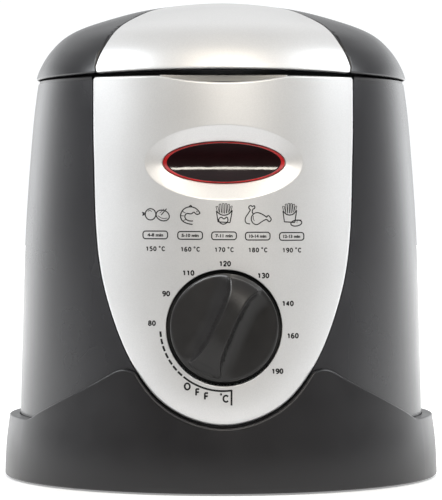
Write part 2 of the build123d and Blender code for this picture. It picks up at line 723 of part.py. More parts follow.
# ------------------------------------------------------------------ lid
LID_IN = [(LID[0][0] - WALL, LID_RIM)] + inset(LID, WALL)[1:]
LID_IN[-1] = (0.0, HEIGHT - WALL)

with BuildPart() as lid_dome:
    with BuildSketch(Plane.XZ):
        with BuildLine():
            Spline(*LID)
            Line(LID[-1], LID_IN[-1])
            Spline(*reversed(LID_IN))
            Line(LID_IN[0], LID[0])
        make_face()
    revolve(axis=Axis.Z)
    # the front edge arches up over the finger gap
    with BuildSketch(Plane.XZ):
        with BuildLine():
            Spline(*mirrored(ARCH))
            Polyline((-ARCH[0][0], ARCH[0][1]), (-95, LID_RIM), (-95, 180), (95, 180), (95, LID_RIM), ARCH[0])
        make_face()
    extrude(amount=120, mode=Mode.SUBTRACT)


def tongue_outline(d):
    """Plan outline of the silver tongue grown by d, open end past the front."""
    half = [(x, y) for x, y in inset(TONGUE, -d)]
    half[-1] = (0.0, TONGUE[-1][1] + d)
    pts = mirrored(half)
    Spline(*pts)
    Polyline(pts[-1], (-57.9 - d, -110.0), (57.9 + d, -110.0), pts[0])


VENT_Y, VENT_A, VENT_B = 44.0, 28.0, 17.0

with BuildPart() as lid_shell:
    add(lid_dome.part)
    with BuildSketch(Plane.XY.offset(180)):
        with BuildLine():
            tongue_outline(0.3)
        make_face()
    extrude(amount=60, mode=Mode.SUBTRACT)
    with BuildSketch(Plane.XY.offset(180)):
        with Locations((0, VENT_Y)):
            Ellipse(VENT_A + 0.4, VENT_B + 0.4)
    extrude(amount=60, mode=Mode.SUBTRACT)
    # knuckle and arm of the hinge
    with BuildSketch(Plane.YZ.offset(-12.8)):
        with BuildLine():
            Polyline((95.0, 194.5), (88.0, 195.0), (82.6, 193.6), (84.4, 187.2), (90.5, 187.2), (92.6, 186.2))
            ThreePointArc((92.6, 186.2), (99.5, 190.0), (95.0, 194.5))
        make_face()
    extrude(amount=25.6)
    with BuildSketch(Plane.YZ.offset(-30)):
        with Locations((HINGE_Y, HINGE_Z)):
            Circle(HINGE_PIN_R + 0.05)
    extrude(amount=60, mode=Mode.SUBTRACT)
    # bosses for the screws of the inner panel
    with BuildSketch(Plane.XY.offset(190.7)):
        with PolarLocations(70.0, 4, 45):
            Circle(4.5)
            Circle(1.5, mode=Mode.SUBTRACT)
    extrude(amount=14.0)
lid_shell.part.label = "lid_shell"
export_step(lid_shell.part, "parts/lid_shell.step")

with BuildPart() as lid_trim:
    add(lid_dome.part)
    with BuildSketch(Plane.XY.offset(180)):
        with BuildLine():
            tongue_outline(0.0)
        make_face()
    extrude(amount=60, mode=Mode.INTERSECT)
lid_trim.part.label = "lid_trim"
export_step(lid_trim.part, "parts/lid_trim.step")

with BuildPart() as lid_inner_panel:
    with BuildSketch(Plane.XY.offset(189.2)):
        Circle(82.6)
        with PolarLocations(70.0, 4, 45):
            Circle(1.5, mode=Mode.SUBTRACT)
        with Locations((0, 44)):
            with GridLocations(6.0, 6.0, 5, 3):
                Circle(1.6, mode=Mode.SUBTRACT)
    extrude(amount=1.4)
    # well that holds the steam filter
    with BuildSketch(Plane.XY.offset(190.6)):
        with Locations((0, VENT_Y)):
            Ellipse(26.0, 15.0)
            Ellipse(24.6, 13.6, mode=Mode.SUBTRACT)
    extrude(amount=13.0)
lid_inner_panel.part.label = "lid_inner_panel"
export_step(lid_inner_panel.part, "parts/lid_inner_panel.step")

with BuildPart() as lid_gasket:
    with BuildSketch(Plane.XZ):
        with BuildLine():
            Polyline((76.0, 189.2), (76.0, 187.2), (77.6, 186.1), (79.0, 186.1), (79.4, 186.9), (80.4, 187.6), (80.4, 189.2), close=True)
        make_face()
    revolve(axis=Axis.Z)
lid_gasket.part.label = "lid_gasket"
export_step(lid_gasket.part, "parts/lid_gasket.step")

with BuildPart() as lid_screws:
    with BuildSketch(Plane.XY.offset(187.6)):
        with PolarLocations(70.0, 4, 45):
            Circle(3.0)
            Rectangle(3.6, 0.8, mode=Mode.SUBTRACT)
            Rectangle(0.8, 3.6, mode=Mode.SUBTRACT)
    extrude(amount=1.6)
    with BuildSketch(Plane.XY.offset(188.8)):
        with PolarLocations(70.0, 4, 45):
            Circle(1.5)
    extrude(amount=11.0)
lid_screws.part.label = "lid_screws"
export_step(lid_screws.part, "parts/lid_screws.step")

with BuildPart() as steam_filter:
    with BuildSketch(Plane.XY.offset(191.4)):
        with Locations((0, VENT_Y)):
            Ellipse(24.2, 13.2)
    extrude(amount=9.0)
    fillet(steam_filter.edges(), 0.8)
steam_filter.part.label = "steam_filter"
export_step(steam_filter.part, "parts/steam_filter.step")

with BuildPart() as filter_cover:
    add(lid_dome.part)
    with BuildSketch(Plane.XY.offset(180)):
        with Locations((0, VENT_Y)):
            Ellipse(VENT_A, VENT_B)
    extrude(amount=60, mode=Mode.INTERSECT)
    with BuildSketch(Plane.XY.offset(204)):
        with Locations((0, VENT_Y)):
            for dy, w in ((-11.0, 28.0), (-5.5, 38.0), (0.0, 42.0), (5.5, 38.0), (11.0, 28.0)):
                with Locations((0, dy)):
                    SlotOverall(w, 2.8)
    extrude(amount=30, mode=Mode.SUBTRACT)
    # locating rib under the cover
    with BuildSketch(Plane.XY.offset(206.4)):
        with Locations((0, VENT_Y)):
            Ellipse(26.0, 15.0)
            Ellipse(24.6, 13.6, mode=Mode.SUBTRACT)
    extrude(until=Until.NEXT)
filter_cover.part.label = "filter_cover"
export_step(filter_cover.part, "parts/filter_cover.step")

# ------------------------------------------------------------------ basket
with BuildPart() as basket_mesh:
    with BuildSketch(Plane.XZ):
        with BuildLine():
            Line((0, BASKET_BOTTOM), (BASKET_R - 8.0, BASKET_BOTTOM))
            RadiusArc((BASKET_R - 8.0, BASKET_BOTTOM), (BASKET_R, BASKET_BOTTOM + 8.0), -8.0)
            Polyline((BASKET_R, BASKET_BOTTOM + 8.0), (BASKET_R, BASKET_TOP), (BASKET_R - 1.0, BASKET_TOP),
                     (BASKET_R - 1.0, BASKET_BOTTOM + 8.0))
            RadiusArc((BASKET_R - 1.0, BASKET_BOTTOM + 8.0), (BASKET_R - 8.0, BASKET_BOTTOM + 1.0), 7.0)
            Polyline((BASKET_R - 8.0, BASKET_BOTTOM + 1.0), (0, BASKET_BOTTOM + 1.0), (0, BASKET_BOTTOM))
        make_face()
    revolve(axis=Axis.Z)
basket_mesh.part.label = "basket_mesh"
export_step(basket_mesh.part, "parts/basket_mesh.step")

with BuildPart() as basket_rim:
    with BuildSketch(Plane.XZ):
        with Locations((BASKET_R - 0.2, BASKET_TOP + 1.9)):
            Circle(1.9)
    revolve(axis=Axis.Z)
    # lower hoop outside the mesh
    with BuildSketch(Plane.XZ):
        with Locations((BASKET_R + 1.3, 122.0)):
            Circle(1.3)
    revolve(axis=Axis.Z)
basket_rim.part.label = "basket_rim"
export_step(basket_rim.part, "parts/basket_rim.step")

with BuildPart() as basket_bracket:
    with BuildSketch(Plane.YZ.offset(-13.6)):
        with BuildLine():
            Polyline((-66.0, 150.0), (-57.2, 150.0), (-55.4, 160.0), (-52.6, 177.0))
            ThreePointArc((-52.6, 177.0), (PIVOT_Y, 180.9), (-60.4, 177.0))
            Polyline((-60.4, 177.0), (-66.0, 174.0), (-66.0, 150.0))
        make_face()
    extrude(amount=27.2)
    # folded plate: two ears joined by a web against the mesh
    with BuildSketch(Plane.XY.offset(140)):
        with Locations((0, -50.0)):
            Rectangle(23.2, 17.4)
    extrude(amount=60, mode=Mode.SUBTRACT)
    with BuildSketch(Plane.XY.offset(171.9)):
        with Locations((0, -60.0)):
            Rectangle(23.2, 30)
    extrude(amount=20, mode=Mode.SUBTRACT)
    with BuildSketch(Plane.XY.offset(140)):
        Circle(BASKET_R - 1.0)
    extrude(amount=32, mode=Mode.INTERSECT)
basket_bracket_lower = basket_bracket.part

with BuildPart() as basket_bracket:
    add(basket_bracket_lower)
    with BuildSketch(Plane.YZ.offset(-13.6)):
        with BuildLine():
            Polyline((-57.6, 165.0), (-53.2, 165.0), (-52.6, 177.0))
            ThreePointArc((-52.6, 177.0), (PIVOT_Y, 180.9), (-60.4, 177.0))
            Polyline((-60.4, 177.0), (-59.2, 171.0), (-57.6, 165.0))
        make_face()
    extrude(amount=2.0)
    with BuildSketch(Plane.YZ.offset(11.6)):
        with BuildLine():
            Polyline((-57.6, 165.0), (-53.2, 165.0), (-52.6, 177.0))
            ThreePointArc((-52.6, 177.0), (PIVOT_Y, 180.9), (-60.4, 177.0))
            Polyline((-60.4, 177.0), (-59.2, 171.0), (-57.6, 165.0))
        make_face()
    extrude(amount=2.0)
    with BuildSketch(Plane.YZ.offset(-20)):
        with Locations((PIVOT_Y, PIVOT_Z)):
            Circle(1.85)
    extrude(amount=40, mode=Mode.SUBTRACT)
    # seat of the rim wire
    with BuildSketch(Plane.XZ):
        with Locations((BASKET_R - 0.2, BASKET_TOP + 1.9)):
            Circle(1.95)
    revolve(axis=Axis.Z, mode=Mode.SUBTRACT)
    with BuildSketch(Plane.XY.offset(140)):
        Circle(80)
        Circle(BASKET_R - 1.05, mode=Mode.SUBTRACT)
    extrude(amount=32.5, mode=Mode.SUBTRACT)
basket_bracket.part.label = "basket_bracket"
export_step(basket_bracket.part, "parts/basket_bracket.step")

with BuildPart() as handle_wire:
    with BuildSketch(Plane.YZ.offset(-15.2)):
        with Locations((PIVOT_Y, PIVOT_Z)):
            Circle(1.8)
    extrude(amount=30.4)
    with BuildSketch(HANDLE):
        with Locations((-8.6, 0), (8.6, 0)):
            Circle(1.8)
    extrude(amount=50.0)
handle_wire.part.label = "handle_wire"
export_step(handle_wire.part, "parts/handle_wire.step")

with BuildPart() as handle_grip:
    with BuildSketch(HANDLE.offset(30.0)):
        RectangleRounded(26.0, 10.0, 4.0)
    extrude(amount=HANDLE_L - 30.0)
    fillet(handle_grip.faces().sort_by(Axis.Z)[0].edges(), 2.5)
    with BuildSketch(HANDLE.offset(29.0)):
        with Locations((-8.6, 0), (8.6, 0)):
            Circle(1.8)
    extrude(amount=21.0, mode=Mode.SUBTRACT)
handle_grip.part.label = "handle_grip"
export_step(handle_grip.part, "parts/handle_grip.step")

knob_box = control_knob.part.bounding_box()
print("knob front", knob_box.min.Y)
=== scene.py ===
import bpy
import json
import math
import numpy as np
from mathutils import Vector, Matrix, geometry


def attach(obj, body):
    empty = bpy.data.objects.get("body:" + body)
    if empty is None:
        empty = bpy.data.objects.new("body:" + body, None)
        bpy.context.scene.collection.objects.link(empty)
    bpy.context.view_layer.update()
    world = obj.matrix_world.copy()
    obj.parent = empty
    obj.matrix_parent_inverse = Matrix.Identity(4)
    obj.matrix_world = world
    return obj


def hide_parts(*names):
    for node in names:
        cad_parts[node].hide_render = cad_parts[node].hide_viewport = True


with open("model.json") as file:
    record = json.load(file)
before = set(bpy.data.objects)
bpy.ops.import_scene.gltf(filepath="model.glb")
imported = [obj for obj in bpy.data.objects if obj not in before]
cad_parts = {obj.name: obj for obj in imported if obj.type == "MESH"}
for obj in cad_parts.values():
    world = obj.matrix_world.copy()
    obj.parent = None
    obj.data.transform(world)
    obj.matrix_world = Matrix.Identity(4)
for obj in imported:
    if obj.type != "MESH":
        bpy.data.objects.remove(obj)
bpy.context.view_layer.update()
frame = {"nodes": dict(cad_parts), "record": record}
NODES = frame["nodes"]
MM = 0.001

# ------------------------------------------------------------------ camera
YAW = math.radians(0.85)
PITCH = math.radians(1.127)
DIST = 1.3486
cam = bpy.data.objects.new("camera", bpy.data.cameras.new("camera"))
bpy.context.scene.collection.objects.link(cam)
cam.location = (-DIST * math.sin(YAW), -DIST * math.cos(YAW), 0.1326)
look = Vector((math.sin(YAW), math.cos(YAW), -math.tan(PITCH)))
cam.rotation_euler = look.to_track_quat("-Z", "Y").to_euler()
cam.data.sensor_fit = "VERTICAL"
cam.data.sensor_height = 36.0
cam.data.sensor_width = 36.0
cam.data.lens = 36.0 * 2847.0 / 500.0
cam.data.clip_start = 0.05
cam.data.clip_end = 50.0
bpy.context.scene.camera = cam

# ------------------------------------------------------------------ dimensions, mm
BASE_TOP = 29.4
KNOB_Y, KNOB_Z, KNOB_TILT, KNOB_R, HOLE_R, POINTER = -94.9, 73.6, 3.5, 23.9, 25.6, 24.8
LENS_Z, LENS_A, LENS_B = 146.6, 27.1, 9.2
HINGE_Y, HINGE_Z = 95.0, 190.0
VENT_Y, VENT_A, VENT_B = 44.0, 28.0, 17.0
BODY = [(94.9, 6), (94.8, 26), (94.4, 50), (93.6, 78), (92.6, 108), (91.2, 133), (89.6, 154), (87.75, 173), (86.2, 184)]
PANEL = [(98.9, 28), (98.2, 39), (97.4, 48), (95.7, 73.5), (94.0, 106), (92.2, 131), (90.5, 152), (88.7, 171), (87.2, 185.2)]
SKIRT = [(102, 1.6), (101.9, 7), (101.5, 15), (100.9, 21), (100.1, 27), (99.4, 33), (98.3, 42), (97.2, 50), (96.3, 58)]
LID = [(87.2, 186.1), (86.3, 189.2), (84.6, 192.9), (82.2, 197), (79.2, 200.8), (75.4, 204.6), (70, 208.2), (62.5, 211.4),
       (54.2, 214.1), (42, 217.5), (29.4, 219.9), (16, 221.6), (6, 222.3), (0, 222.4)]
OUTLINE = [(58.4, 166), (58.0, 145), (57.2, 121), (54.2, 95.1), (49.3, 77.3), (42, 59.8), (36.7, 51.1), (29.5, 42.4), (15.7, 33.8), (0, 30.6)]
APRON = [(88.5, 29.9), (84.5, 32.9), (79, 36.3), (72, 40.4), (64.5, 44.6), (56.5, 49.2), (51, 52.5), (47.5, 54.3), (44.2, 54.8), (41, 53.9)]
TONGUE = [(57.6, -64), (56.4, -62.6), (54.2, -60.6), (51.8, -58), (48.2, -53), (44.9, -47.6), (40.6, -40), (36, -31.5), (30, -21.5),
          (22, -11), (11.5, -2.6), (0, 0.8)]
ARCH = [(87.3, 186.1), (75, 186.6), (61.5, 187.2), (40, 188.1), (19.6, 188.6), (0, 188.75)]


# ------------------------------------------------------------------ curves
def cspline(pts, n=400, t0=None, t1=None):
    """A cubic spline through points, by chord length, natural or with end tangents."""
    P = np.array(pts, float)
    t = np.r_[0, np.cumsum(np.linalg.norm(np.diff(P, axis=0), axis=1))]
    h = np.diff(t)
    N = len(P)
    A = np.zeros((N, N))
    B = np.zeros((N, P.shape[1]))
    for i in range(1, N - 1):
        A[i, i - 1], A[i, i], A[i, i + 1] = h[i - 1], 2 * (h[i - 1] + h[i]), h[i]
        B[i] = 6 * ((P[i + 1] - P[i]) / h[i] - (P[i] - P[i - 1]) / h[i - 1])
    A[0, 0] = A[-1, -1] = 1
    if t0 is not None:
        A[0, 0], A[0, 1] = 2 * h[0], h[0]
        B[0] = 6 * ((P[1] - P[0]) / h[0] - np.array(t0, float))
    if t1 is not None:
        A[-1, -1], A[-1, -2] = 2 * h[-1], h[-1]
        B[-1] = 6 * (np.array(t1, float) - (P[-1] - P[-2]) / h[-1])
    M = np.linalg.solve(A, B)
    s = np.linspace(0, t[-1], n)
    i = np.clip(np.searchsorted(t, s, side="right") - 1, 0, N - 2)
    a = (t[i + 1] - s)[:, None]
    b = (s - t[i])[:, None]
    hi = h[i][:, None]
    return (M[i] * a ** 3 + M[i + 1] * b ** 3) / (6 * hi) + (P[i] / hi - M[i] * hi / 6) * a + (P[i + 1] / hi - M[i + 1] * hi / 6) * b


def resample(poly, step, closed=False):
    P = np.array(poly, float)
    if closed:
        P = np.vstack([P, P[:1]])
    d = np.r_[0, np.cumsum(np.linalg.norm(np.diff(P, axis=0), axis=1))]
    n = max(int(round(d[-1] / step)), 3)
    s = np.linspace(0, d[-1], n + 1)
    out = np.stack([np.interp(s, d, P[:, k]) for k in range(P.shape[1])], 1)
    return out[:-1] if closed else out


def radius_fn(profile):
    c = cspline(profile, 1200)
    o = np.argsort(c[:, 1])
    zs, rs = c[o, 1], c[o, 0]
    return lambda z: np.interp(z, zs, rs)


panel_r = radius_fn(PANEL)
body_r = radius_fn(BODY)
skirt_r = radius_fn(SKIRT)


def mirrored(pts):
    return list(pts) + [(-x, y) for x, y in reversed(pts[:-1])]


def normals2(P, closed=True):
    """Left-hand unit normals of a polyline."""
    if closed:
        d = np.roll(P, -1, 0) - np.roll(P, 1, 0)
    else:
        d = np.gradient(P, axis=0)
    d = d / np.maximum(np.linalg.norm(d, axis=1), 1e-9)[:, None]
    return np.stack([-d[:, 1], d[:, 0]], 1)


def area2(P):
    return 0.5 * np.sum(P[:, 0] * np.roll(P[:, 1], -1) - np.roll(P[:, 0], -1) * P[:, 1])


def shrink(P, d):
    """Closed loop moved d inwards."""
    s = 1.0 if area2(P) > 0 else -1.0
    return P + normals2(P) * d * s


def dist_to(Q, P, closed=True):
    """Distance from points Q to a polyline P."""
    A = P
    B = np.roll(P, -1, 0) if closed else P[1:]
    A = A if closed else P[:-1]
    out = np.full(len(Q), 1e9)
    AB = B - A
    L2 = np.maximum((AB ** 2).sum(1), 1e-12)
    for k in range(0, len(Q), 1500):
        q = Q[k:k + 1500]
        t = np.clip(((q[:, None] - A[None]) * AB[None]).sum(2) / L2, 0, 1)
        out[k:k + 1500] = np.sqrt(((q[:, None] - A[None] - t[..., None] * AB[None]) ** 2).sum(2).min(1))
    return out


def inside(Q, P):
    """Which points Q lie in the closed polygon P."""
    x, y = Q[:, 0], Q[:, 1]
    got = np.zeros(len(Q), bool)
    x0, y0 = P[:, 0], P[:, 1]
    x1, y1 = np.roll(x0, -1), np.roll(y0, -1)
    for a, b, c, d in zip(x0, y0, x1, y1):
        if b == d:
            continue
        hit = ((b > y) != (d > y)) & (x < (c - a) * (y - b) / (d - b) + a)
        got ^= hit
    return got


def circle(r, n, c=(0, 0)):
    t = np.arange(n) * 2 * np.pi / n
    return np.stack([c[0] + r * np.cos(t), c[1] + r * np.sin(t)], 1)


def ellipse(a, b, n, c=(0, 0)):
    t = np.arange(n) * 2 * np.pi / n
    return np.stack([c[0] + a * np.cos(t), c[1] + b * np.sin(t)], 1)


# ------------------------------------------------------------------ meshes
def new_object(name, verts, faces, body, smooth=True, normals=None, mats=()):
    me = bpy.data.meshes.new(name)
    me.from_pydata((np.asarray(verts) * MM).tolist(), [], faces)
    me.validate()
    me.update()
    if smooth:
        me.polygons.foreach_set("use_smooth", [True] * len(me.polygons))
    if normals is not None and len(normals) == len(me.vertices):
        me.normals_split_custom_set_from_vertices([tuple(float(c) for c in n) for n in normals])
    ob = bpy.data.objects.new(name, me)
    bpy.context.scene.collection.objects.link(ob)
    for m in mats:
        me.materials.append(m)
    if body:
        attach(ob, body)
    return ob


def surface_patch(name, outer, holes, loops, step, clear, pos, back, body, flip=False, eps=0.01, mats=()):
    """A closed wall over a flat region: constrained triangles, with the shape given by pos and back."""
    pts = [outer] + list(holes) + list(loops)
    cons = np.vstack(pts)
    lo, hi = outer.min(0), outer.max(0)
    gx, gy = np.meshgrid(np.arange(lo[0], hi[0], step), np.arange(lo[1], hi[1], step * 0.866))
    gx = gx + (np.arange(gx.shape[0]) % 2)[:, None] * step / 2
    g = np.stack([gx.ravel(), gy.ravel()], 1)
    g = g[inside(g, outer)]
    for h in holes:
        g = g[~inside(g, h)]
    keep = np.ones(len(g), bool)
    for k in range(0, len(g), 800):
        d2 = ((g[k:k + 800, None] - cons[None]) ** 2).sum(2).min(1)
        keep[k:k + 800] = d2 > clear ** 2
    g = g[keep]
    V = np.vstack([cons, g])
    E = []
    base = 0
    for p in pts:
        n = len(p)
        E += [(base + i, base + (i + 1) % n) for i in range(n)]
        base += n
    v2, _, f2, _, _, _ = geometry.delaunay_2d_cdt([Vector((float(a), float(b))) for a, b in V], E, [], 0, 1e-5)
    P = np.array([[v[0], v[1]] for v in v2])
    F = np.array([list(f) for f in f2 if len(f) == 3])
    c = P[F].mean(1)
    ok = inside(c, outer)
    for h in holes:
        ok &= ~inside(c, h)
    a = P[F[:, 0]]
    b = P[F[:, 1]]
    d = P[F[:, 2]]
    cr = (b[:, 0] - a[:, 0]) * (d[:, 1] - a[:, 1]) - (b[:, 1] - a[:, 1]) * (d[:, 0] - a[:, 0])
    ok &= np.abs(cr) > 1e-7
    F = F[ok]
    cr = cr[ok]
    F[cr < 0] = F[cr < 0][:, ::-1]
    used = np.unique(F)
    remap = -np.ones(len(P), int)
    remap[used] = np.arange(len(used))
    P = P[used]
    F = remap[F]
    top = pos(P)
    du = pos(P + [eps, 0]) - pos(P - [eps, 0])
    dv = pos(P + [0, eps]) - pos(P - [0, eps])
    nrm = np.cross(du, dv)
    nrm /= np.maximum(np.linalg.norm(nrm, axis=1), 1e-12)[:, None]
    if flip:
        nrm = -nrm
    bot = back(P)
    n = len(P)
    Ft = F[:, ::-1] if flip else F
    Fb = F if flip else F[:, ::-1]
    edges = {}
    for f in Ft:
        for i in range(3):
            e = (int(f[i]), int(f[(i + 1) % 3]))
            edges[e] = True
    side = [(e[1], e[0], e[0] + n, e[1] + n) for e in edges if (e[1], e[0]) not in edges]
    # the back gets its own edge points so that its shading stays apart
    verts = np.vstack([top, bot])
    faces = [tuple(int(x) for x in f) for f in Ft] + [tuple(int(x) + n for x in f) for f in Fb] + side
    nb = np.zeros_like(bot)
    tri = bot[Fb]
    fn = np.cross(tri[:, 1] - tri[:, 0], tri[:, 2] - tri[:, 0])
    for k in range(3):
        np.add.at(nb, Fb[:, k], fn)
    nb /= np.maximum(np.linalg.norm(nb, axis=1), 1e-12)[:, None]
    return new_object(name, verts, faces, body, normals=np.vstack([nrm, nb]), mats=mats)


def tube(path, r, sides=6, closed=False):
    P = np.asarray(path, float)
    n = len(P)
    T = (np.roll(P, -1, 0) - np.roll(P, 1, 0)) if closed else np.gradient(P, axis=0)
    T /= np.linalg.norm(T, axis=1)[:, None]
    up = np.array([0, 0, 1.0]) if abs(T[0, 2]) < 0.9 else np.array([1.0, 0, 0])
    u = np.cross(T[0], up)
    u /= np.linalg.norm(u)
    rings = []
    for i in range(n):
        u = u - T[i] * (u @ T[i])
        u /= np.linalg.norm(u)
        w = np.cross(T[i], u)
        a = np.arange(sides) * 2 * np.pi / sides
        rings.append(P[i] + r * (np.cos(a)[:, None] * u + np.sin(a)[:, None] * w))
    V = np.vstack(rings)
    F = []
    for i in range(n if closed else n - 1):
        j = (i + 1) % n
        for k in range(sides):
            m = (k + 1) % sides
            F.append((i * sides + k, i * sides + m, j * sides + m, j * sides + k))
    if not closed:
        F.append(tuple(reversed(range(sides))))
        F.append(tuple((n - 1) * sides + k for k in range(sides)))
    return V, F


def join(parts):
    V, F, base = [], [], 0
    for v, f in parts:
        V.append(v)
        F += [tuple(i + base for i in q) for q in f]
        base += len(v)
    return np.vstack(V), F


# ------------------------------------------------------------------ materials
def material(name, color, rough=0.5, metal=0.0, spec=0.5, coat=0.0, coat_rough=0.1, grain=1800.0, bump=0.15, depth=0.05,
             mottle=60.0, tone=0.06, vary=0.08, wear=0.25, fleck=0.0, stretch=None, trans=0.0, ior=1.49, sheen=0.0, alpha=1.0, painted_glow=0.0):
    """Procedural finish: broad tone and gloss changes, fine moulded grain, and slightly paler rubbed edges."""
    m = bpy.data.materials.new(name)
    m.use_nodes = True
    nt = m.node_tree
    N, L = nt.nodes, nt.links
    b = N["Principled BSDF"]
    b.inputs["Metallic"].default_value = metal
    b.inputs["Specular IOR Level"].default_value = spec
    b.inputs["IOR"].default_value = ior
    b.inputs["Coat Weight"].default_value = coat
    b.inputs["Coat Roughness"].default_value = coat_rough
    b.inputs["Transmission Weight"].default_value = trans
    b.inputs["Sheen Weight"].default_value = sheen
    b.inputs["Alpha"].default_value = alpha
    # painted glow: emission that makes a surface shine though it is no lamp
    if painted_glow:
        b.inputs["Emission Color"].default_value = (*color[:3], 1)
        b.inputs["Emission Strength"].default_value = painted_glow
    tc = N.new("ShaderNodeTexCoord")
    src = tc.outputs["Object"]
    if stretch:
        mp = N.new("ShaderNodeMapping")
        mp.inputs["Scale"].default_value = stretch
        L.new(src, mp.inputs["Vector"])
        fine_src = mp.outputs["Vector"]
    else:
        fine_src = src
    broad = N.new("ShaderNodeTexNoise")
    broad.inputs["Scale"].default_value = mottle
    broad.inputs["Detail"].default_value = 4.0
    L.new(src, broad.inputs["Vector"])
    fine = N.new("ShaderNodeTexNoise")
    fine.inputs["Scale"].default_value = grain
    fine.inputs["Detail"].default_value = 2.0
    L.new(fine_src, fine.inputs["Vector"])
    # tone
    mr = N.new("ShaderNodeMapRange")
    mr.inputs["From Min"].default_value = 0.3
    mr.inputs["From Max"].default_value = 0.7
    mr.inputs["To Min"].default_value = 1 - tone
    mr.inputs["To Max"].default_value = 1 + tone
    L.new(broad.outputs["Fac"], mr.inputs["Value"])
    val = mr.outputs["Result"]
    if fleck:
        vo = N.new("ShaderNodeTexVoronoi")
        vo.inputs["Scale"].default_value = grain * 0.8
        L.new(fine_src, vo.inputs["Vector"])
        bw = N.new("ShaderNodeRGBToBW")
        L.new(vo.outputs["Color"], bw.inputs["Color"])
        fr = N.new("ShaderNodeMapRange")
        fr.inputs["To Min"].default_value = 1 - fleck
        fr.inputs["To Max"].default_value = 1 + fleck
        L.new(bw.outputs["Val"], fr.inputs["Value"])
        mu = N.new("ShaderNodeMath")
        mu.operation = "MULTIPLY"
        L.new(val, mu.inputs[0])
        L.new(fr.outputs["Result"], mu.inputs[1])
        val = mu.outputs["Value"]
    sc = N.new("ShaderNodeVectorMath")
    sc.operation = "SCALE"
    sc.inputs[0].default_value = color[:3]
    L.new(val, sc.inputs["Scale"])
    # rubbed edges
    geo = N.new("ShaderNodeNewGeometry")
    er = N.new("ShaderNodeMapRange")
    er.inputs["From Min"].default_value = 0.53
    er.inputs["From Max"].default_value = 0.64
    er.inputs["To Min"].default_value = 0.0
    er.inputs["To Max"].default_value = wear
    L.new(geo.outputs["Pointiness"], er.inputs["Value"])
    mx = N.new("ShaderNodeMix")
    mx.data_type = "RGBA"
    L.new(er.outputs["Result"], mx.inputs["Factor"])
    L.new(sc.outputs["Vector"], mx.inputs["A"])
    mx.inputs["B"].default_value = (*[min(1.0, c * 1.5 + 0.02) for c in color[:3]], 1)
    L.new(mx.outputs["Result"], b.inputs["Base Color"])
    # gloss changes
    rr = N.new("ShaderNodeMapRange")
    rr.inputs["From Min"].default_value = 0.25
    rr.inputs["From Max"].default_value = 0.75
    rr.inputs["To Min"].default_value = max(rough * (1 - vary), 0.02)
    rr.inputs["To Max"].default_value = min(rough * (1 + vary), 1.0)
    L.new(broad.outputs["Fac"], rr.inputs["Value"])
    L.new(rr.outputs["Result"], b.inputs["Roughness"])
    bp = N.new("ShaderNodeBump")
    bp.inputs["Strength"].default_value = bump
    bp.inputs["Distance"].default_value = depth * MM
    L.new(fine.outputs["Fac"], bp.inputs["Height"])
    L.new(bp.outputs["Normal"], b.inputs["Normal"])
    return m


M = {}
M["dark_gloss_plastic"] = material("dark_gloss_plastic", (0.0150, 0.0148, 0.0170), rough=0.26, spec=0.5, grain=1400, bump=0.03, depth=0.02,
                                   mottle=25, tone=0.05, vary=0.10, wear=0.3)
M["dark_satin_plastic"] = material("dark_satin_plastic", (0.0125, 0.0118, 0.0130), rough=0.32, grain=2600, bump=0.20, depth=0.03,
                                   mottle=60, tone=0.06, vary=0.1, wear=0.3)
M["silver_paint"] = material("silver_paint", (0.69, 0.69, 0.695), rough=0.42, metal=0.62, spec=0.5, coat=0.10, coat_rough=0.25, grain=3400,
                             bump=0.10, depth=0.03, mottle=22, tone=0.012, vary=0.08, wear=0.15, fleck=0.035)
M["black_plastic"] = material("black_plastic", (0.012, 0.012, 0.013), rough=0.5, grain=2200, bump=0.25, tone=0.1)
M["red_lens"] = material("red_lens", (0.010, 0.002, 0.003), rough=0.07, spec=0.45, coat=0.0, coat_rough=0.03, grain=190, bump=0.60, mottle=120,
                         tone=0.2, vary=0.3, wear=0.0)
M["lamp_glass"] = material("lamp_glass", (0.75, 0.22, 0.12), rough=0.12, trans=0.5, grain=500, bump=0.03, wear=0.0)
M["nonstick"] = material("nonstick", (0.045, 0.045, 0.048), rough=0.38, metal=0.25, grain=1500, bump=0.35, depth=0.05, mottle=90, tone=0.12,
                         fleck=0.25, wear=0.2)
M["aluminium"] = material("aluminium", (0.70, 0.70, 0.71), rough=0.42, metal=1.0, grain=1200, bump=0.3, mottle=80, tone=0.05)
M["steel"] = material("steel", (0.58, 0.585, 0.59), rough=0.3, metal=1.0, grain=700, bump=0.15, mottle=70, tone=0.06, stretch=(1, 1, 6), vary=0.25)
M["chrome_wire"] = material("chrome_wire", (0.72, 0.72, 0.735), rough=0.16, metal=1.0, grain=900, bump=0.08, mottle=60, tone=0.05, vary=0.4)
M["rubber"] = material("rubber", (0.015, 0.015, 0.015), rough=0.75, spec=0.3, grain=2000, bump=0.4, tone=0.15)
M["silicone"] = material("silicone", (0.035, 0.035, 0.036), rough=0.6, spec=0.4, grain=1600, bump=0.2, tone=0.05)
M["white_nylon"] = material("white_nylon", (0.66, 0.65, 0.60), rough=0.5, grain=1500, bump=0.15, tone=0.04)
M["wire_sleeve"] = material("wire_sleeve", (0.38, 0.05, 0.035), rough=0.6, grain=1500, bump=0.2, tone=0.1)
M["filter_mat"] = material("filter_mat", (0.66, 0.66, 0.63), rough=0.9, spec=0.2, grain=900, bump=0.9, depth=0.5, tone=0.08, sheen=0.2)
M["print"] = material("panel_ink", (0.008, 0.008, 0.009), rough=0.5, spec=0.25, grain=2500, bump=0.1, depth=0.01, mottle=400, tone=0.12, wear=0.0)
# Lens rim: a bright red with a faint glow, painted light standing in for light caught in the edge of the red lens; the
# rest of the lens stays dark.
M["lens_edge"] = material("lens_edge", (0.45, 0.010, 0.012), rough=0.15, spec=0.5, coat=0.4, coat_rough=0.05, grain=600, bump=0.03, mottle=150,
                          tone=0.35, vary=0.3, wear=0.0, painted_glow=0.05)
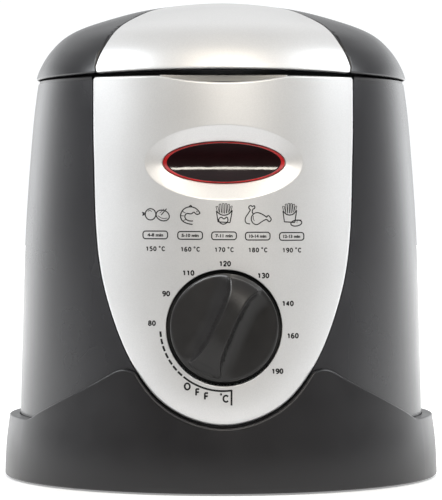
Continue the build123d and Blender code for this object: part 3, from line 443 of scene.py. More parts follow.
# Grey of the scoop lining: a silver paint darkened as painted shade under the lid's overhang.
M["lining"] = material("lining_paint", (0.40, 0.395, 0.385), rough=0.5, metal=0.3, grain=3000, bump=0.12, depth=0.03, mottle=40, tone=0.03, fleck=0.03)
# Near-black for the knob's groove: painted shade standing in for the dark inside of the groove.
M["mark"] = material("knob_mark", (0.003, 0.003, 0.003), rough=0.6, grain=2500, bump=0.1, wear=0.0)
M["knob"] = material("knob_plastic", (0.0140, 0.0133, 0.0133), rough=0.37, spec=0.32, grain=3000, bump=0.22, depth=0.035, mottle=120, tone=0.08,
                     vary=0.10, wear=0.35)

record = frame["record"]
slots = {}


def walk(o):
    if isinstance(o, dict):
        n = o.get("node") or o.get("name")
        s = o.get("material") or o.get("slot") or o.get("material_slot")
        if isinstance(n, str) and isinstance(s, str) and n in NODES and s in M:
            slots[n] = s
        for v in o.values():
            walk(v)
    elif isinstance(o, list):
        for v in o:
            walk(v)


walk(record)
for n, o in NODES.items():
    s = slots.get(n)
    if s is None:
        old = o.data.materials[0].name if len(o.data.materials) and o.data.materials[0] else ""
        s = next((k for k in M if old.startswith(k)), "black_plastic")
    slots[n] = s
    o.data.materials.clear()
    o.data.materials.append(M[s])

# ------------------------------------------------------------------ silver front panel
LOOPS = {}


def panel_loop():
    c = cspline(mirrored(OUTLINE), 500, t0=(0, -1), t1=(0, 1))
    top = 185.2
    r = 0.8
    left, right = c[-1, 0], c[0, 0]
    corner = lambda cx, a0, a1: [(cx + r * math.cos(math.radians(a)), top - r + r * math.sin(math.radians(a))) for a in np.linspace(a0, a1, 6)]
    R = (29.0 ** 2 + 3.1 ** 2) / (2 * 3.1)
    arc = [(x, 182.2 + R - math.sqrt(R * R - x * x)) for x in np.linspace(-28.7, 28.7, 40)]
    pts = [tuple(p) for p in c] + corner(left + r, 180, 90) + arc + corner(right - r, 90, 0)
    # blend the ends of the scoop
    P = resample(pts, 1.3, closed=True)
    for _ in range(2):
        near = (np.abs(np.abs(P[:, 0]) - 28.7) < 4) & (P[:, 1] > 180)
        P[near] = (0.25 * np.roll(P, 1, 0) + 0.5 * P + 0.25 * np.roll(P, -1, 0))[near]
    return P


outline = panel_loop()
E0 = (27.4, 9.5)
E1 = (35.2, 16.6)


def lens_rho(Q):
    """0 on the inner edge of the hollow, 1 on its outer edge."""
    x, z = np.abs(Q[:, 0]), Q[:, 1] - LENS_Z
    lo = np.full(len(Q), -0.98)
    hi = np.full(len(Q), 8.0)
    for _ in range(40):
        m = 0.5 * (lo + hi)
        a, b = E0[0] + (E1[0] - E0[0]) * m, E0[1] + (E1[1] - E0[1]) * m
        out = (x / np.maximum(a, .01)) ** 2 + (z / np.maximum(b, .01)) ** 2 > 1
        lo = np.where(out, m, lo)
        hi = np.where(out, hi, m)
    return 0.5 * (lo + hi)


def lens_dep(x):
    return 4.5 - 2.2 * np.minimum(1, (x / 27.4) ** 2)


def ramp(rho, w=0.05):
    g = np.where(rho < 1 - w, 1 - rho, np.where(rho < 1 + w, (1 + w - rho) ** 2 / (4 * w), 0))
    return np.clip(g, 0, 1)


DN = np.array([0, -math.cos(math.radians(KNOB_TILT)), math.sin(math.radians(KNOB_TILT))])
DV = np.array([0, math.sin(math.radians(KNOB_TILT)), math.cos(math.radians(KNOB_TILT))])
DO = np.array([0, KNOB_Y, KNOB_Z])


def dial(u, v, w):
    return DO + np.asarray(u)[:, None] * np.array([1.0, 0, 0]) + np.asarray(v)[:, None] * DV + np.asarray(w)[:, None] * DN


def plain_y(Q):
    return -np.sqrt(np.maximum(panel_r(Q[:, 1]) ** 2 - Q[:, 0] ** 2, 1))


EDGE_R = 0.9


def pillow(Q, d):
    """The panel's face falls away a little towards its sides and its point, but not towards its top edge."""
    fade = np.clip((176.0 - Q[:, 1]) / 30.0, 0, 1)
    deep = 0.75 + 0.85 * np.clip((95.0 - Q[:, 1]) / 50.0, 0, 1)
    return deep * np.clip(1 - d / 15.0, 0, 1) ** 2.2 * fade


def panel_front(Q, border=True):
    x, z = Q[:, 0], Q[:, 1]
    y = plain_y(Q)
    if border:
        d = dist_to(Q, outline)
        d = np.where(inside(Q, outline), d, 0)
        k = np.clip(EDGE_R - d, 0, EDGE_R)
        y = y + EDGE_R - np.sqrt(np.maximum(EDGE_R ** 2 - k ** 2, 0))
        y = y + pillow(Q, d)
    # hollow round the lens
    near = (np.abs(x) < 45) & (np.abs(z - LENS_Z) < 26)
    if near.any():
        rho = np.full(len(Q), 9.0)
        rho[near] = lens_rho(Q[near])
        y = y + lens_dep(x) * ramp(rho)
        t = np.clip(-rho / 0.01, 0, 1)
        y = y + 1.9 * t
    # dial pocket
    q = np.hypot(x, z - KNOB_Z)
    f = 0.45
    k = np.clip(f - (q - HOLE_R), 0, f)
    y = y + np.where(q < HOLE_R + f, f - np.sqrt(np.maximum(f * f - k * k, 0)), 0)
    P = np.stack([x, y, z], 1)
    m = q < HOLE_R
    if m.any():
        qq = q[m]
        ux, uz = x[m] / qq, (z[m] - KNOB_Z) / qq
        rim = np.stack([ux * HOLE_R, uz * HOLE_R + KNOB_Z], 1)
        top = np.stack([rim[:, 0], plain_y(rim) + f, rim[:, 1]], 1)
        rr = np.minimum(qq, HOLE_R - 0.3) * (HOLE_R - 0.05) / (HOLE_R - 0.3)
        floor = dial(ux * rr, uz * rr, np.full(len(qq), -5.5))
        t = np.clip((HOLE_R - qq) / 0.3, 0, 1)[:, None]
        P[m] = top * (1 - t) + floor * t
    return P


def panel_back(Q):
    x, z = Q[:, 0], Q[:, 1]
    q = np.hypot(x, z - KNOB_Z)
    g = np.clip((31.0 - q) / 5.0, 0, 1) * 1.6
    s = (q + g) / np.maximum(q, 1e-6)
    rho = lens_rho(Q)
    P = panel_front(Q, border=False)
    m = q < 31.0
    P[m, 0] = x[m] * s[m]
    P[m, 2] = KNOB_Z + (P[m, 2] - KNOB_Z) * s[m]
    m = rho < 0.6
    e = np.clip((0.6 - rho[m]) / 0.6, 0, 1)
    P[m, 0] = x[m] * (1 + 0.045 * e)
    P[m, 2] = LENS_Z + (z[m] - LENS_Z) * (1 + 0.13 * e)
    d = dist_to(Q, outline)
    P[:, 1] += np.where(d < 2.35, 5.5, 1.7)
    return P


ell = lambda rho, n: ellipse(E0[0] + (E1[0] - E0[0]) * rho, E0[1] + (E1[1] - E0[1]) * rho, n, (0, LENS_Z))
loops = [shrink(outline, d) for d in (0.04, 0.15, 0.35, 0.62, 0.92, 1.3, 2.25, 2.45)]
loops += [ell(r, 150) for r in (1.12, 1.055, 1.025, 1.0, 0.975, 0.945, 0.85, 0.7, 0.5, 0.3, 0.12, 0.02, 0.0, -0.01)]
loops += [circle(HOLE_R + d, 150, (0, KNOB_Z)) for d in (0.9, 0.5, 0.45, 0.28, 0.13, 0.04, 0.0, -0.3, -0.8, -3.0)]
lens_hole = ellipse(26.0, 8.1, 120, (0, LENS_Z))
shaft_hole = circle(9.2, 48, (0, KNOB_Z))
panel = surface_patch("front_panel_skin", outline, [lens_hole, shaft_hole], loops, 2.6, 0.75, panel_front, panel_back, "housing",
                      mats=[M["silver_paint"]])
# The dial pocket's wall and floor take black plastic: partly the bare plastic under the paint, partly painted shade
# deep in the pocket.
panel.data.materials.append(M["black_plastic"])
for poly in panel.data.polygons:
    c = poly.center
    if math.hypot(c.x / MM, c.z / MM - KNOB_Z) < HOLE_R - 0.02:
        poly.material_index = 1
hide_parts("front_panel")


# ------------------------------------------------------------------ grey lining behind the finger scoop: a real grey wall, painted darker than the panel's silver as shade under the lid's overhang
def build_lining():
    V, F = [], []
    n, m = 46, 12
    for back in (0, 1):
        for j in range(m + 1):
            t = j / m
            for i in range(n + 1):
                x = -28.4 + 56.8 * i / n
                z = 180.6 + 5.0 * t
                lean = 1.3 * t ** 1.5 + (0.25 * (1 - math.sqrt(max(0, 1 - max(0, (t - 0.9) / 0.1) ** 2))))
                y = -80.95 + 0.35 * lean
                V.append((x, y + back * 0.9, z))
    w = n + 1
    N = w * (m + 1)
    for j in range(m):
        for i in range(n):
            a = j * w + i
            F.append((a, a + 1, a + w + 1, a + w))
            F.append((N + a, N + a + w, N + a + w + 1, N + a + 1))
    for i in range(n):
        F.append((i, N + i, N + i + 1, i + 1))
        a = m * w + i
        F.append((a, a + 1, N + a + 1, N + a))
    for j in range(m):
        a = j * w
        F.append((a, a + w, N + a + w, N + a))
        a = j * w + n
        F.append((a, N + a, N + a + w, a + w))
    return new_object("finger_scoop_lining", V, F, "housing", mats=[M["lining"]])


lining = build_lining()


# ------------------------------------------------------------------ lens
def lens_front(x, z, q):
    y = plain_y(np.stack([x, z], 1)) + lens_dep(x)
    rise = np.where(q > 0.93, 0.75 - (q - 0.93) / 0.07 * 0.95, 0.75 + 1.0 * (1 - (q / 0.93) ** 2))
    return y - rise


def build_lens():
    n = 144
    a = np.arange(n) * 2 * np.pi / n
    qs = [1.0, 0.99, 0.975, 0.955, 0.935, 0.925, 0.91, 0.88, 0.8, 0.7, 0.6, 0.5, 0.4, 0.3, 0.2, 0.1, 0.03]
    V, F, mi = [], [], []
    rings = []
    for q in qs:
        x, z = LENS_A * q * np.cos(a), LENS_Z + LENS_B * q * np.sin(a)
        rings.append(np.stack([x, lens_front(x, z, np.full(n, q)), z], 1))
    for q in (1.0, 0.5, 0.03):
        x, z = LENS_A * q * np.cos(a), LENS_Z + LENS_B * q * np.sin(a)
        y = lens_front(x, z, np.full(n, q))
        rings.insert(0, np.stack([x, np.full(n, 0) + y + (2.0 if q == 1.0 else 2.4), z], 1))
    V = np.vstack(rings)
    for r in range(len(rings) - 1):
        for k in range(n):
            m = (k + 1) % n
            F.append((r * n + k, r * n + m, (r + 1) * n + m, (r + 1) * n + k))
            # the outer band of the lens front takes the rim's painted light
            mi.append(1 if 3 <= r <= 6 else 0)
    F.append(tuple(reversed(range(n))))
    mi.append(0)
    F.append(tuple((len(rings) - 1) * n + k for k in range(n)))
    mi.append(0)
    ob = new_object("lens", V, F, "housing", mats=[M["red_lens"], M["lens_edge"]])
    ob.data.polygons.foreach_set("material_index", mi)
    return ob


lens = build_lens()
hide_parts("indicator_lens")


# ------------------------------------------------------------------ printing on the panel
def on_panel(x, z, out):
    x = x - 0.5
    y = -np.sqrt(panel_r(z) ** 2 - x ** 2)
    n = np.stack([x, y, np.zeros_like(x)], 1)
    n /= np.linalg.norm(n, axis=1)[:, None]
    return np.stack([x, y, z], 1) + n * np.asarray(out)[:, None]


def stroke(pts, w, place=on_panel, closed=False, lift=0.035, sink=0.05, step=0.35):
    """A thin raised line of ink along a polyline."""
    P = resample(np.array(pts, float), step, closed)
    N2 = normals2(P, closed)
    n = len(P)
    A, B = P + N2 * w / 2, P - N2 * w / 2
    up = np.full(n, lift)
    dn = np.full(n, -sink)
    V = np.vstack([place(A[:, 0], A[:, 1], up), place(B[:, 0], B[:, 1], up), place(A[:, 0], A[:, 1], dn), place(B[:, 0], B[:, 1], dn)])
    F = []
    for i in range(n if closed else n - 1):
        j = (i + 1) % n
        a0, a1, b0, b1 = i, j, n + i, n + j
        c0, c1, d0, d1 = 2 * n + i, 2 * n + j, 3 * n + i, 3 * n + j
        F += [(a0, a1, b1, b0), (c0, d0, d1, c1), (a0, c0, c1, a1), (b0, b1, d1, d0)]
    if not closed:
        F += [(0, n, 3 * n, 2 * n), (n - 1, 3 * n - 1, 4 * n - 1, 2 * n - 1)]
    return V, F


def text(s, x, z, h, w=None, bold=0.0, lift=0.035):
    """Ink lettering of height h, centred on x, z."""
    cu = bpy.data.curves.new("t", "FONT")
    cu.body = s
    cu.size = 1.0
    cu.resolution_u = 4
    cu.offset = bold
    cu.extrude = 0.02
    ob = bpy.data.objects.new("t", cu)
    bpy.context.scene.collection.objects.link(ob)
    bpy.context.view_layer.update()
    me = bpy.data.meshes.new_from_object(ob.evaluated_get(bpy.context.evaluated_depsgraph_get()))
    v = np.array([p.co[:] for p in me.vertices])
    f = [tuple(p.vertices) for p in me.polygons]
    bpy.data.objects.remove(ob)
    bpy.data.meshes.remove(me)
    lo, hi = v.min(0), v.max(0)
    k = h / (hi[1] - lo[1])
    kx = k if w is None else w / (hi[0] - lo[0])
    X = (v[:, 0] - (lo[0] + hi[0]) / 2) * kx + x
    Z = (v[:, 1] - (lo[1] + hi[1]) / 2) * k + z
    out = np.where(v[:, 2] > 0, lift, -0.05)
    return on_panel(X, Z, out), f


def arc_pts(cx, cz, r, a0, a1, n=24, k=1.0):
    return [(cx + r * math.cos(math.radians(a)), cz + r * k * math.sin(math.radians(a))) for a in np.linspace(a0, a1, n)]


def oval(cx, cz, a, b, rot=0, n=28, a0=0, a1=360):
    c, s = math.cos(math.radians(rot)), math.sin(math.radians(rot))
    out = []
    for t in np.linspace(math.radians(a0), math.radians(a1), n, endpoint=(a1 - a0) % 360 != 0):
        x, y = a * math.cos(t), b * math.sin(t)
        out.append((cx + x * c - y * s, cz + x * s + y * c))
    return out


def smooth_line(pts, n=30):
    return cspline(pts, n)


GLYPHS = {
    "0": [("o", (0.31, 0.5, 0.25, 0.44))],
    "1": [("l", [(0.12, 0.76), (0.36, 0.94), (0.36, 0.04)])],
    "2": [("s", [(0.07, 0.70), (0.13, 0.88), (0.31, 0.95), (0.50, 0.86), (0.52, 0.66), (0.36, 0.40), (0.08, 0.06)]), ("l", [(0.06, 0.06), (0.57, 0.06)])],
    "3": [("s", [(0.08, 0.86), (0.29, 0.95), (0.49, 0.85), (0.47, 0.62), (0.27, 0.53)]),
          ("s", [(0.27, 0.53), (0.51, 0.44), (0.54, 0.20), (0.35, 0.05), (0.06, 0.11)])],
    "4": [("l", [(0.43, 0.04), (0.43, 0.94), (0.05, 0.30), (0.58, 0.30)])],
    "5": [("l", [(0.52, 0.94), (0.13, 0.94), (0.10, 0.54)]), ("s", [(0.10, 0.54), (0.30, 0.61), (0.51, 0.48), (0.53, 0.25), (0.37, 0.06), (0.06, 0.10)])],
    "6": [("s", [(0.49, 0.90), (0.31, 0.94), (0.12, 0.75), (0.06, 0.40), (0.13, 0.12), (0.31, 0.05), (0.49, 0.12), (0.54, 0.31), (0.44, 0.50),
                 (0.28, 0.54), (0.09, 0.42)])],
    "7": [("l", [(0.06, 0.94), (0.55, 0.94), (0.22, 0.04)])],
    "8": [("o", (0.31, 0.73, 0.19, 0.21)), ("o", (0.31, 0.28, 0.24, 0.23))],
    "9": [("s", [(0.13, 0.08), (0.31, 0.05), (0.50, 0.24), (0.56, 0.59), (0.49, 0.87), (0.31, 0.94), (0.13, 0.87), (0.08, 0.68), (0.18, 0.49),
                 (0.34, 0.45), (0.53, 0.57)])],
    "O": [("o", (0.34, 0.5, 0.31, 0.45))],
    "C": [("s", [(0.60, 0.80), (0.40, 0.95), (0.13, 0.83), (0.04, 0.50), (0.13, 0.17), (0.40, 0.05), (0.60, 0.20)])],
    "F": [("l", [(0.50, 0.94), (0.12, 0.94), (0.12, 0.04)]), ("l", [(0.12, 0.50), (0.46, 0.50)])],
    "D": [("o", (0.24, 0.82, 0.11, 0.12))],
    " ": [],
}


def glyphs(s, x, z, h, adv, w, wide=1.0):
    """Plain single-stroke lettering of height h, centred on x, z."""
    k = h - w
    x0 = x - adv * (len(s) - 1) / 2 - 0.31 * k * wide
    out = []
    for i, ch in enumerate(s):
        for kind, d in GLYPHS[ch]:
            ox, oz = x0 + i * adv, z - k / 2
            if kind == "o":
                out.append(stroke(oval(ox + d[0] * k * wide, oz + d[1] * k, d[2] * k * wide, d[3] * k, n=32), w, closed=True, step=0.22))
            else:
                pts = [(ox + a * k * wide, oz + b * k) for a, b in d]
                if kind == "s":
                    out.append(stroke(smooth_line(pts, 36), w, step=0.22))
                else:
                    for a, b in zip(pts[:-1], pts[1:]):
                        out.append(stroke([a, b], w, step=0.3))
    return out


ink = []
# dial scale
for s, x, z in (("120", 0.85, 101.9), ("130", 17.8, 96.6), ("140", 28.7, 84.2), ("160", 30.9, 69.9), ("190", 24.0, 54.4),
                ("110", -15.3, 97.8), ("90", -25.1, 88.6), ("80", -31.4, 75.5)):
    ink += glyphs(s, x, z, 2.75, 1.80, 0.60, 1.08)
for s, x, z in (("O", -15.9, 48.2), ("F", -11.2, 45.75), ("F", -7.35, 44.0), ("C", 1.1, 42.9)):
    ink += glyphs(s, x, z - 0.35, 3.85, 2.0, 0.78, 1.2)
ink.append(stroke(oval(-0.95, 44.45, 0.32, 0.32, n=14), 0.42, closed=True, step=0.15))
G = 27.7
a_start, a_mid, a_end = 183.5, 231.0, 278.0
nd = 7
span = (a_mid - a_start) / nd
for i in range(nd):
    a0 = a_start + i * span
    ink.append(stroke(arc_pts(0, KNOB_Z, G, a0, a0 + span * 0.74, 12), 0.90))
ink.append(stroke(arc_pts(0, KNOB_Z, G, a_mid, a_end, 60), 0.84))
end = arc_pts(0, KNOB_Z, G, a_end, a_end + 0.1, 2)[0]
ink.append(stroke([(end[0] - 0.15, end[1] + 0.28), (end[0] - 0.15 - 0.05, 39.6)], 0.82))
# cooking times and temperatures
cols = (-29.9, -14.5, 0.45, 15.35, 30.5)
for c, s in zip(cols, ("4-8 min", "5-10 min", "7-11 min", "10-14 min", "12-13 min")):
    z = 114.5 - 0.011 * (c + 30)
    a, b, r = 5.45, 1.7, 1.15
    box = (arc_pts(c + a - r, z + b - r, r, 0, 90, 6) + arc_pts(c - a + r, z + b - r, r, 90, 180, 6)
           + arc_pts(c - a + r, z - b + r, r, 180, 270, 6) + arc_pts(c + a - r, z - b + r, r, 270, 360, 6))
    ink.append(stroke(box, 0.48, closed=True))
    ink.append(text(s, c, z, 1.45, w=min(1.0 * len(s), 7.6), bold=0.045))
for c, s in zip(cols, ("150", "160", "170", "180", "190")):
    z = 108.4 - 0.011 * (c + 30)
    ink += glyphs(s, c - 1.85, z, 2.4, 1.68, 0.48, 1.05) + glyphs("C", c + 3.55, z, 2.4, 1.68, 0.48, 1.05)
    ink.append(stroke(oval(c + 1.95, z + 0.82, 0.28, 0.28, n=14), 0.32, closed=True, step=0.15))
# food pictures: simple line drawings
W = 0.48
cx, cz = -29.9, 123.6
ink += [stroke(oval(cx - 2.1, cz, 2.35, 2.5), W, closed=True), stroke([(cx - 4.3, cz + 0.4), (cx - 5.9, cz + 0.9)], W),
        stroke([(cx - 4.3, cz - 0.1), (cx - 5.8, cz - 0.4)], W), stroke(smooth_line([(cx - 5.6, cz + 0.5), (cx - 5.0, cz + 0.2), (cx - 5.5, cz - 0.2)], 8), W),
        stroke(smooth_line([(cx - 3.3, cz + 1.3), (cx - 2.4, cz + 1.7), (cx - 1.6, cz + 1.2)], 10), 0.28),
        stroke(oval(cx + 3.3, cz - 0.5, 3.0, 2.3, -20), W, closed=True), stroke([(cx + 2.6, cz - 0.3), (cx + 5.0, cz + 2.5)], 0.42),
        stroke([(cx + 2.0, cz + 0.6), (cx + 3.9, cz + 2.4)], 0.25),
        stroke(smooth_line([(cx + 1.2, cz - 0.6), (cx + 3.0, cz - 1.7), (cx + 5.4, cz - 1.6)], 14), 0.28)]
cx = -14.4
ink += [stroke(smooth_line([(cx + 4.3, cz + 0.5), (cx + 3.2, cz + 2.0), (cx + 0.6, cz + 3.3), (cx - 2.3, cz + 2.7), (cx - 4.2, cz + 0.2),
                            (cx - 3.9, cz - 2.3), (cx - 1.9, cz - 3.8), (cx + 1.0, cz - 4.4)], 50), 0.5),
        stroke(smooth_line([(cx + 4.3, cz + 0.5), (cx + 2.6, cz + 0.1), (cx + 1.5, cz + 1.0), (cx + 0.6, cz + 0.3), (cx - 1.4, cz + 0.4),
                            (cx - 2.4, cz - 0.9), (cx - 1.6, cz - 2.4), (cx + 1.2, cz - 2.9)], 50), W),
        stroke(oval(cx + 2.9, cz + 1.2, 0.22, 0.22, n=10), 0.2, closed=True, step=0.15),
        stroke([(cx - 0.6, cz + 3.2), (cx + 0.1, cz + 4.1), (cx + 0.8, cz + 3.2)], W),
        stroke([(cx - 3.7, cz + 1.4), (cx - 2.1, cz + 0.6)], 0.28), stroke([(cx - 4.1, cz - 0.6), (cx - 2.4, cz - 0.7)], 0.28),
        stroke([(cx - 3.2, cz - 2.9), (cx - 1.9, cz - 2.1)], 0.28)]


def fries(cx, cz, s=1.0):
    out = [stroke([(cx - 3.4 * s, cz + 1.2), (cx - 2.7 * s, cz - 3.6), (cx + 2.6 * s, cz - 3.9), (cx + 3.6 * s, cz + 1.5)], 0.45),
           stroke(smooth_line([(cx - 3.4 * s, cz + 1.2), (cx - 1.4 * s, cz - 0.4), (cx + 1.6 * s, cz - 0.3), (cx + 3.6 * s, cz + 1.5)], 20), W)]
    for k, (dx, h, t) in enumerate(((-2.5, 3.2, -0.7), (-1.5, 4.2, -0.3), (-0.5, 4.5, 0.1), (0.6, 4.4, 0.28), (1.6, 4.1, 0.5), (2.5, 3.3, 0.8))):
        x0, x1 = cx + dx * s, cx + (dx + t) * s
        out.append(stroke([(x0 - 0.4, cz - 0.1 + abs(dx) * 0.25), (x1 - 0.4, cz + h), (x1 + 0.35, cz + h + 0.1), (x0 + 0.35, cz + 0.1 + abs(dx) * 0.25)], 0.28))
    return out


ink += fries(0.5, 123.9) + [stroke(smooth_line([(-1.4, 120.0), (-1.9, 121.4), (-0.6, 122.3), (0.5, 121.6), (1.6, 122.4), (2.2, 121.0), (1.2, 119.6), (0.0, 119.3), (-1.4, 120.0)], 40), W)]
cx, cz = 15.4, 123.3
ink += [stroke(smooth_line([(cx - 3.2, cz + 2.4), (cx - 4.6, cz + 0.2), (cx - 5.6, cz - 1.8), (cx - 5.2, cz - 3.4), (cx - 3.4, cz - 3.9)], 30), 0.46),
        stroke(smooth_line([(cx - 2.2, cz + 2.6), (cx - 2.4, cz + 1.0), (cx - 1.9, cz + 0.4)], 10), W),
        stroke(smooth_line([(cx - 3.3, cz + 2.3), (cx - 4.0, cz + 3.6), (cx - 3.1, cz + 4.2), (cx - 2.4, cz + 3.8), (cx - 1.6, cz + 4.1), (cx - 1.3, cz + 3.3), (cx - 2.2, cz + 2.6)], 30), W),
        stroke(smooth_line([(cx + 4.0, cz - 1.0), (cx + 1.9, cz + 0.4), (cx - 0.9, cz + 1.0), (cx - 2.6, cz - 0.4), (cx - 2.6, cz - 2.9), (cx - 0.7, cz - 4.2),
                            (cx + 1.5, cz - 3.1), (cx + 3.7, cz - 1.9)], 60), 0.46),
        stroke(smooth_line([(cx + 3.9, cz - 1.0), (cx + 4.6, cz - 0.2), (cx + 5.4, cz - 0.9), (cx + 5.9, cz - 2.2), (cx + 5.0, cz - 2.9), (cx + 4.4, cz - 2.3), (cx + 3.7, cz - 1.9)], 30), W),
        stroke(smooth_line([(cx - 1.9, cz - 0.3), (cx - 2.0, cz - 1.6), (cx - 1.5, cz - 2.6)], 10), 0.28)]
ink += fries(29.6, 123.9, 0.88) + [stroke(oval(32.6, 119.7, 2.5, 1.3, 8), W, closed=True), stroke(oval(34.0, 120.3, 1.2, 0.8, 20, a0=20, a1=190, n=12), 0.18)]
V, F = join(ink)
ink_ob = new_object("panel_scale", V, F, "housing", smooth=False, mats=[M["print"]])


# ------------------------------------------------------------------ base ring
def build_base():
    # top edge of the ring seen from the front, x against z, right half from the middle outwards
    out = cspline(mirrored(OUTLINE), 900, t0=(0, -1), t1=(0, 1))
    out = out[:450][::-1]
    n2 = normals2(out, closed=False)
    notch = out - n2 * 1.3 if (out - n2 * 1.3)[5, 1] < out[5, 1] else out + n2 * 1.3
    ap = cspline(APRON, 300)[::-1]
    zc = 53.7
    k = np.searchsorted(notch[:, 1], zc)
    notch = notch[:k]
    ap = ap[ap[:, 0] > notch[-1, 0] + 1.0]
    pts = np.vstack([notch, ap, [[90.0, 29.45]]])
    th = np.arcsin(np.clip(pts[:, 0] / skirt_r(pts[:, 1]), -1, 1))
    s = np.stack([th * 99.0, pts[:, 1]], 1)
    last = s[-1, 0]
    s = np.vstack([s, [[last + 3, BASE_TOP], [math.pi * 99.0, BASE_TOP]]])
    s = resample(s, 0.5)
    # small radii at the corners of the line
    for _ in range(6):
        s[1:-1] = 0.25 * s[:-2] + 0.5 * s[1:-1] + 0.25 * s[2:]
    fine = s[s[:, 0] < last + 4]
    rest = s[s[:, 0] >= last + 4]
    half = np.vstack([resample(fine, 1.0), resample(rest, 3.0)[1:]])
    half[0, 0] = 0
    full = np.vstack([half, np.stack([-half[1:-1][::-1, 0], half[1:-1][::-1, 1]], 1)])
    n = len(full)
    nrm = normals2(full)
    nrm *= np.where(nrm[:, 1] > 0, -1, 1)[:, None]
    rows = []

    def row(S, Z, R):
        a = S / 99.0
        rows.append(np.stack([R * np.sin(a), -R * np.cos(a), Z], 1))

    f = 0.8
    # inside, from the bottom up
    zb = 0.8
    row(full[:, 0], np.full(n, zb), np.full(n, 99.35))
    row(full[:, 0], np.full(n, 7.0), np.full(n, 99.3))
    row(full[:, 0], np.full(n, 20.0), np.full(n, 98.1))
    row(full[:, 0], np.full(n, 26.4), np.full(n, 97.3))
    row(full[:, 0], np.full(n, 26.4), np.full(n, 95.15))
    row(full[:, 0], full[:, 1] - 0.25, np.full(n, 95.05))
    row(full[:, 0], full[:, 1], np.full(n, 95.3))
    # over the rounded top edge
    inner = full
    base_r_top = skirt_r(full[:, 1])
    row(full[:, 0], full[:, 1], base_r_top - f)
    for a in np.linspace(0, 90, 7)[1:]:
        lat = f * (1 - math.cos(math.radians(a)))
        sink = f * (1 - math.sin(math.radians(a)))
        S = full + nrm * lat
        row(S[:, 0], S[:, 1], skirt_r(S[:, 1]) - sink)
    S0 = full + nrm * (f + 0.5)
    row(S0[:, 0], S0[:, 1], skirt_r(S0[:, 1]))
    m = 22
    for i in range(1, m + 1):
        t = i / m
        Z = S0[:, 1] * (1 - t) + (zb + 0.9) * t
        S = S0[:, 0] * (1 - t) + full[:, 0] * t
        row(S, Z, skirt_r(Z))
    for a in (30, 60, 90):
        row(full[:, 0], np.full(n, zb + 0.9 - 0.9 * math.sin(math.radians(a))), skirt_r(zb) - 0.9 * (1 - math.cos(math.radians(a))))
    V = np.vstack(rows)
    F = []
    R = len(rows)
    for r in range(R):
        q = (r + 1) % R
        for k in range(n):
            p = (k + 1) % n
            F.append((r * n + k, q * n + k, q * n + p, r * n + p))
    return V, F


V, F = build_base()
base = new_object("base_skirt", V, F, "housing", mats=[M["dark_satin_plastic"]])
mod = base.modifiers.new("n", "WEIGHTED_NORMAL")
mod.keep_sharp = True
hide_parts("base_ring")

# ------------------------------------------------------------------ control knob
wb_pts = [(-22.5, 9.2), (-18.6, 6.6), (-14, 4.7), (-9, 3.9), (-3, 3.6), (4, 3.5), (10, 3.8), (15, 4.5), (19, 6.1), (22.5, 8.6)]
wb_c = cspline(wb_pts, 300)


def bar_w(v):
    return np.interp(v, wb_c[:, 0], wb_c[:, 1])


def bar_loop():
    R = 22.2
    v = np.linspace(-22.1, 22.1, 400)
    right = [(bar_w(t), t) for t in v if bar_w(t) ** 2 + t * t <= R * R]
    a1 = math.atan2(right[-1][1], right[-1][0])
    top = [(R * math.cos(a), R * math.sin(a)) for a in np.linspace(a1, math.pi - a1, 24)]
    left = [(-x, y) for x, y in reversed(right)]
    a0 = math.atan2(right[0][1], right[0][0])
    bottom = [(R * math.cos(a), R * math.sin(a)) for a in np.linspace(-math.pi - a0, a0, 24)]
    P = resample(right + top[1:-1] + left + bottom[1:-1], 0.8, closed=True)
    for _ in range(2):
        P = 0.25 * np.roll(P, 1, 0) + 0.5 * P + 0.25 * np.roll(P, -1, 0)
    return P


bar = bar_loop()


def knob_h(Q):
    u, v = Q[:, 0], Q[:, 1]
    r = np.hypot(u, v)
    disc = 4.4 - 0.0016 * r * r
    k = np.clip((r - (KNOB_R - 1.5)) / 1.5, 0, 1)
    disc = disc - 1.5 * (1 - np.sqrt(np.maximum(1 - k * k, 0)))
    top = 13.94 - np.where(v > 0, 0.00078 * np.maximum(0, v - 2) ** 3, 0.030 * np.maximum(0, -v - 3.5) ** 2) - 0.5 * (1 - np.clip(np.abs(u) / 3.6, 0, 1) ** 2) * np.clip(1 - (v / 16) ** 2, 0, 1)
    top = np.minimum(top, 13.94)
    d = dist_to(Q, bar)
    ins = inside(Q, bar)
    H = top - disc
    # edge radius, steep flank, then a wide fillet down to the disc
    e = 0.9
    F_in = 1 - np.where(d < e, (1 - np.sqrt(np.maximum(1 - ((e - d) / e) ** 2, 0))) * e / np.maximum(H, 1) * 0.9, 0)
    f0 = 1 - 0.9 * e / np.maximum(H, 1)
    t = np.clip(d / 1.5, 0, 1)
    steep = f0 + (0.42 - f0) * t
    w = np.clip((d - 1.5) / 6.6, 0, 1)
    foot = 0.42 * (1 - w) ** 2.0
    F_out = np.where(d < 1.5, steep, foot)
    return disc + H * np.where(ins, F_in, F_out)


def knob_front(Q):
    a = math.radians(-POINTER)
    u = Q[:, 0] * math.cos(a) - Q[:, 1] * math.sin(a)
    v = Q[:, 0] * math.sin(a) + Q[:, 1] * math.cos(a)
    return dial(u, v, knob_h(Q))


def knob_back(Q):
    a = math.radians(-POINTER)
    u = Q[:, 0] * math.cos(a) - Q[:, 1] * math.sin(a)
    v = Q[:, 0] * math.sin(a) + Q[:, 1] * math.cos(a)
    r = np.hypot(u, v)
    return dial(u, v, np.where(r > KNOB_R - 2.0, -4.9, 1.6))


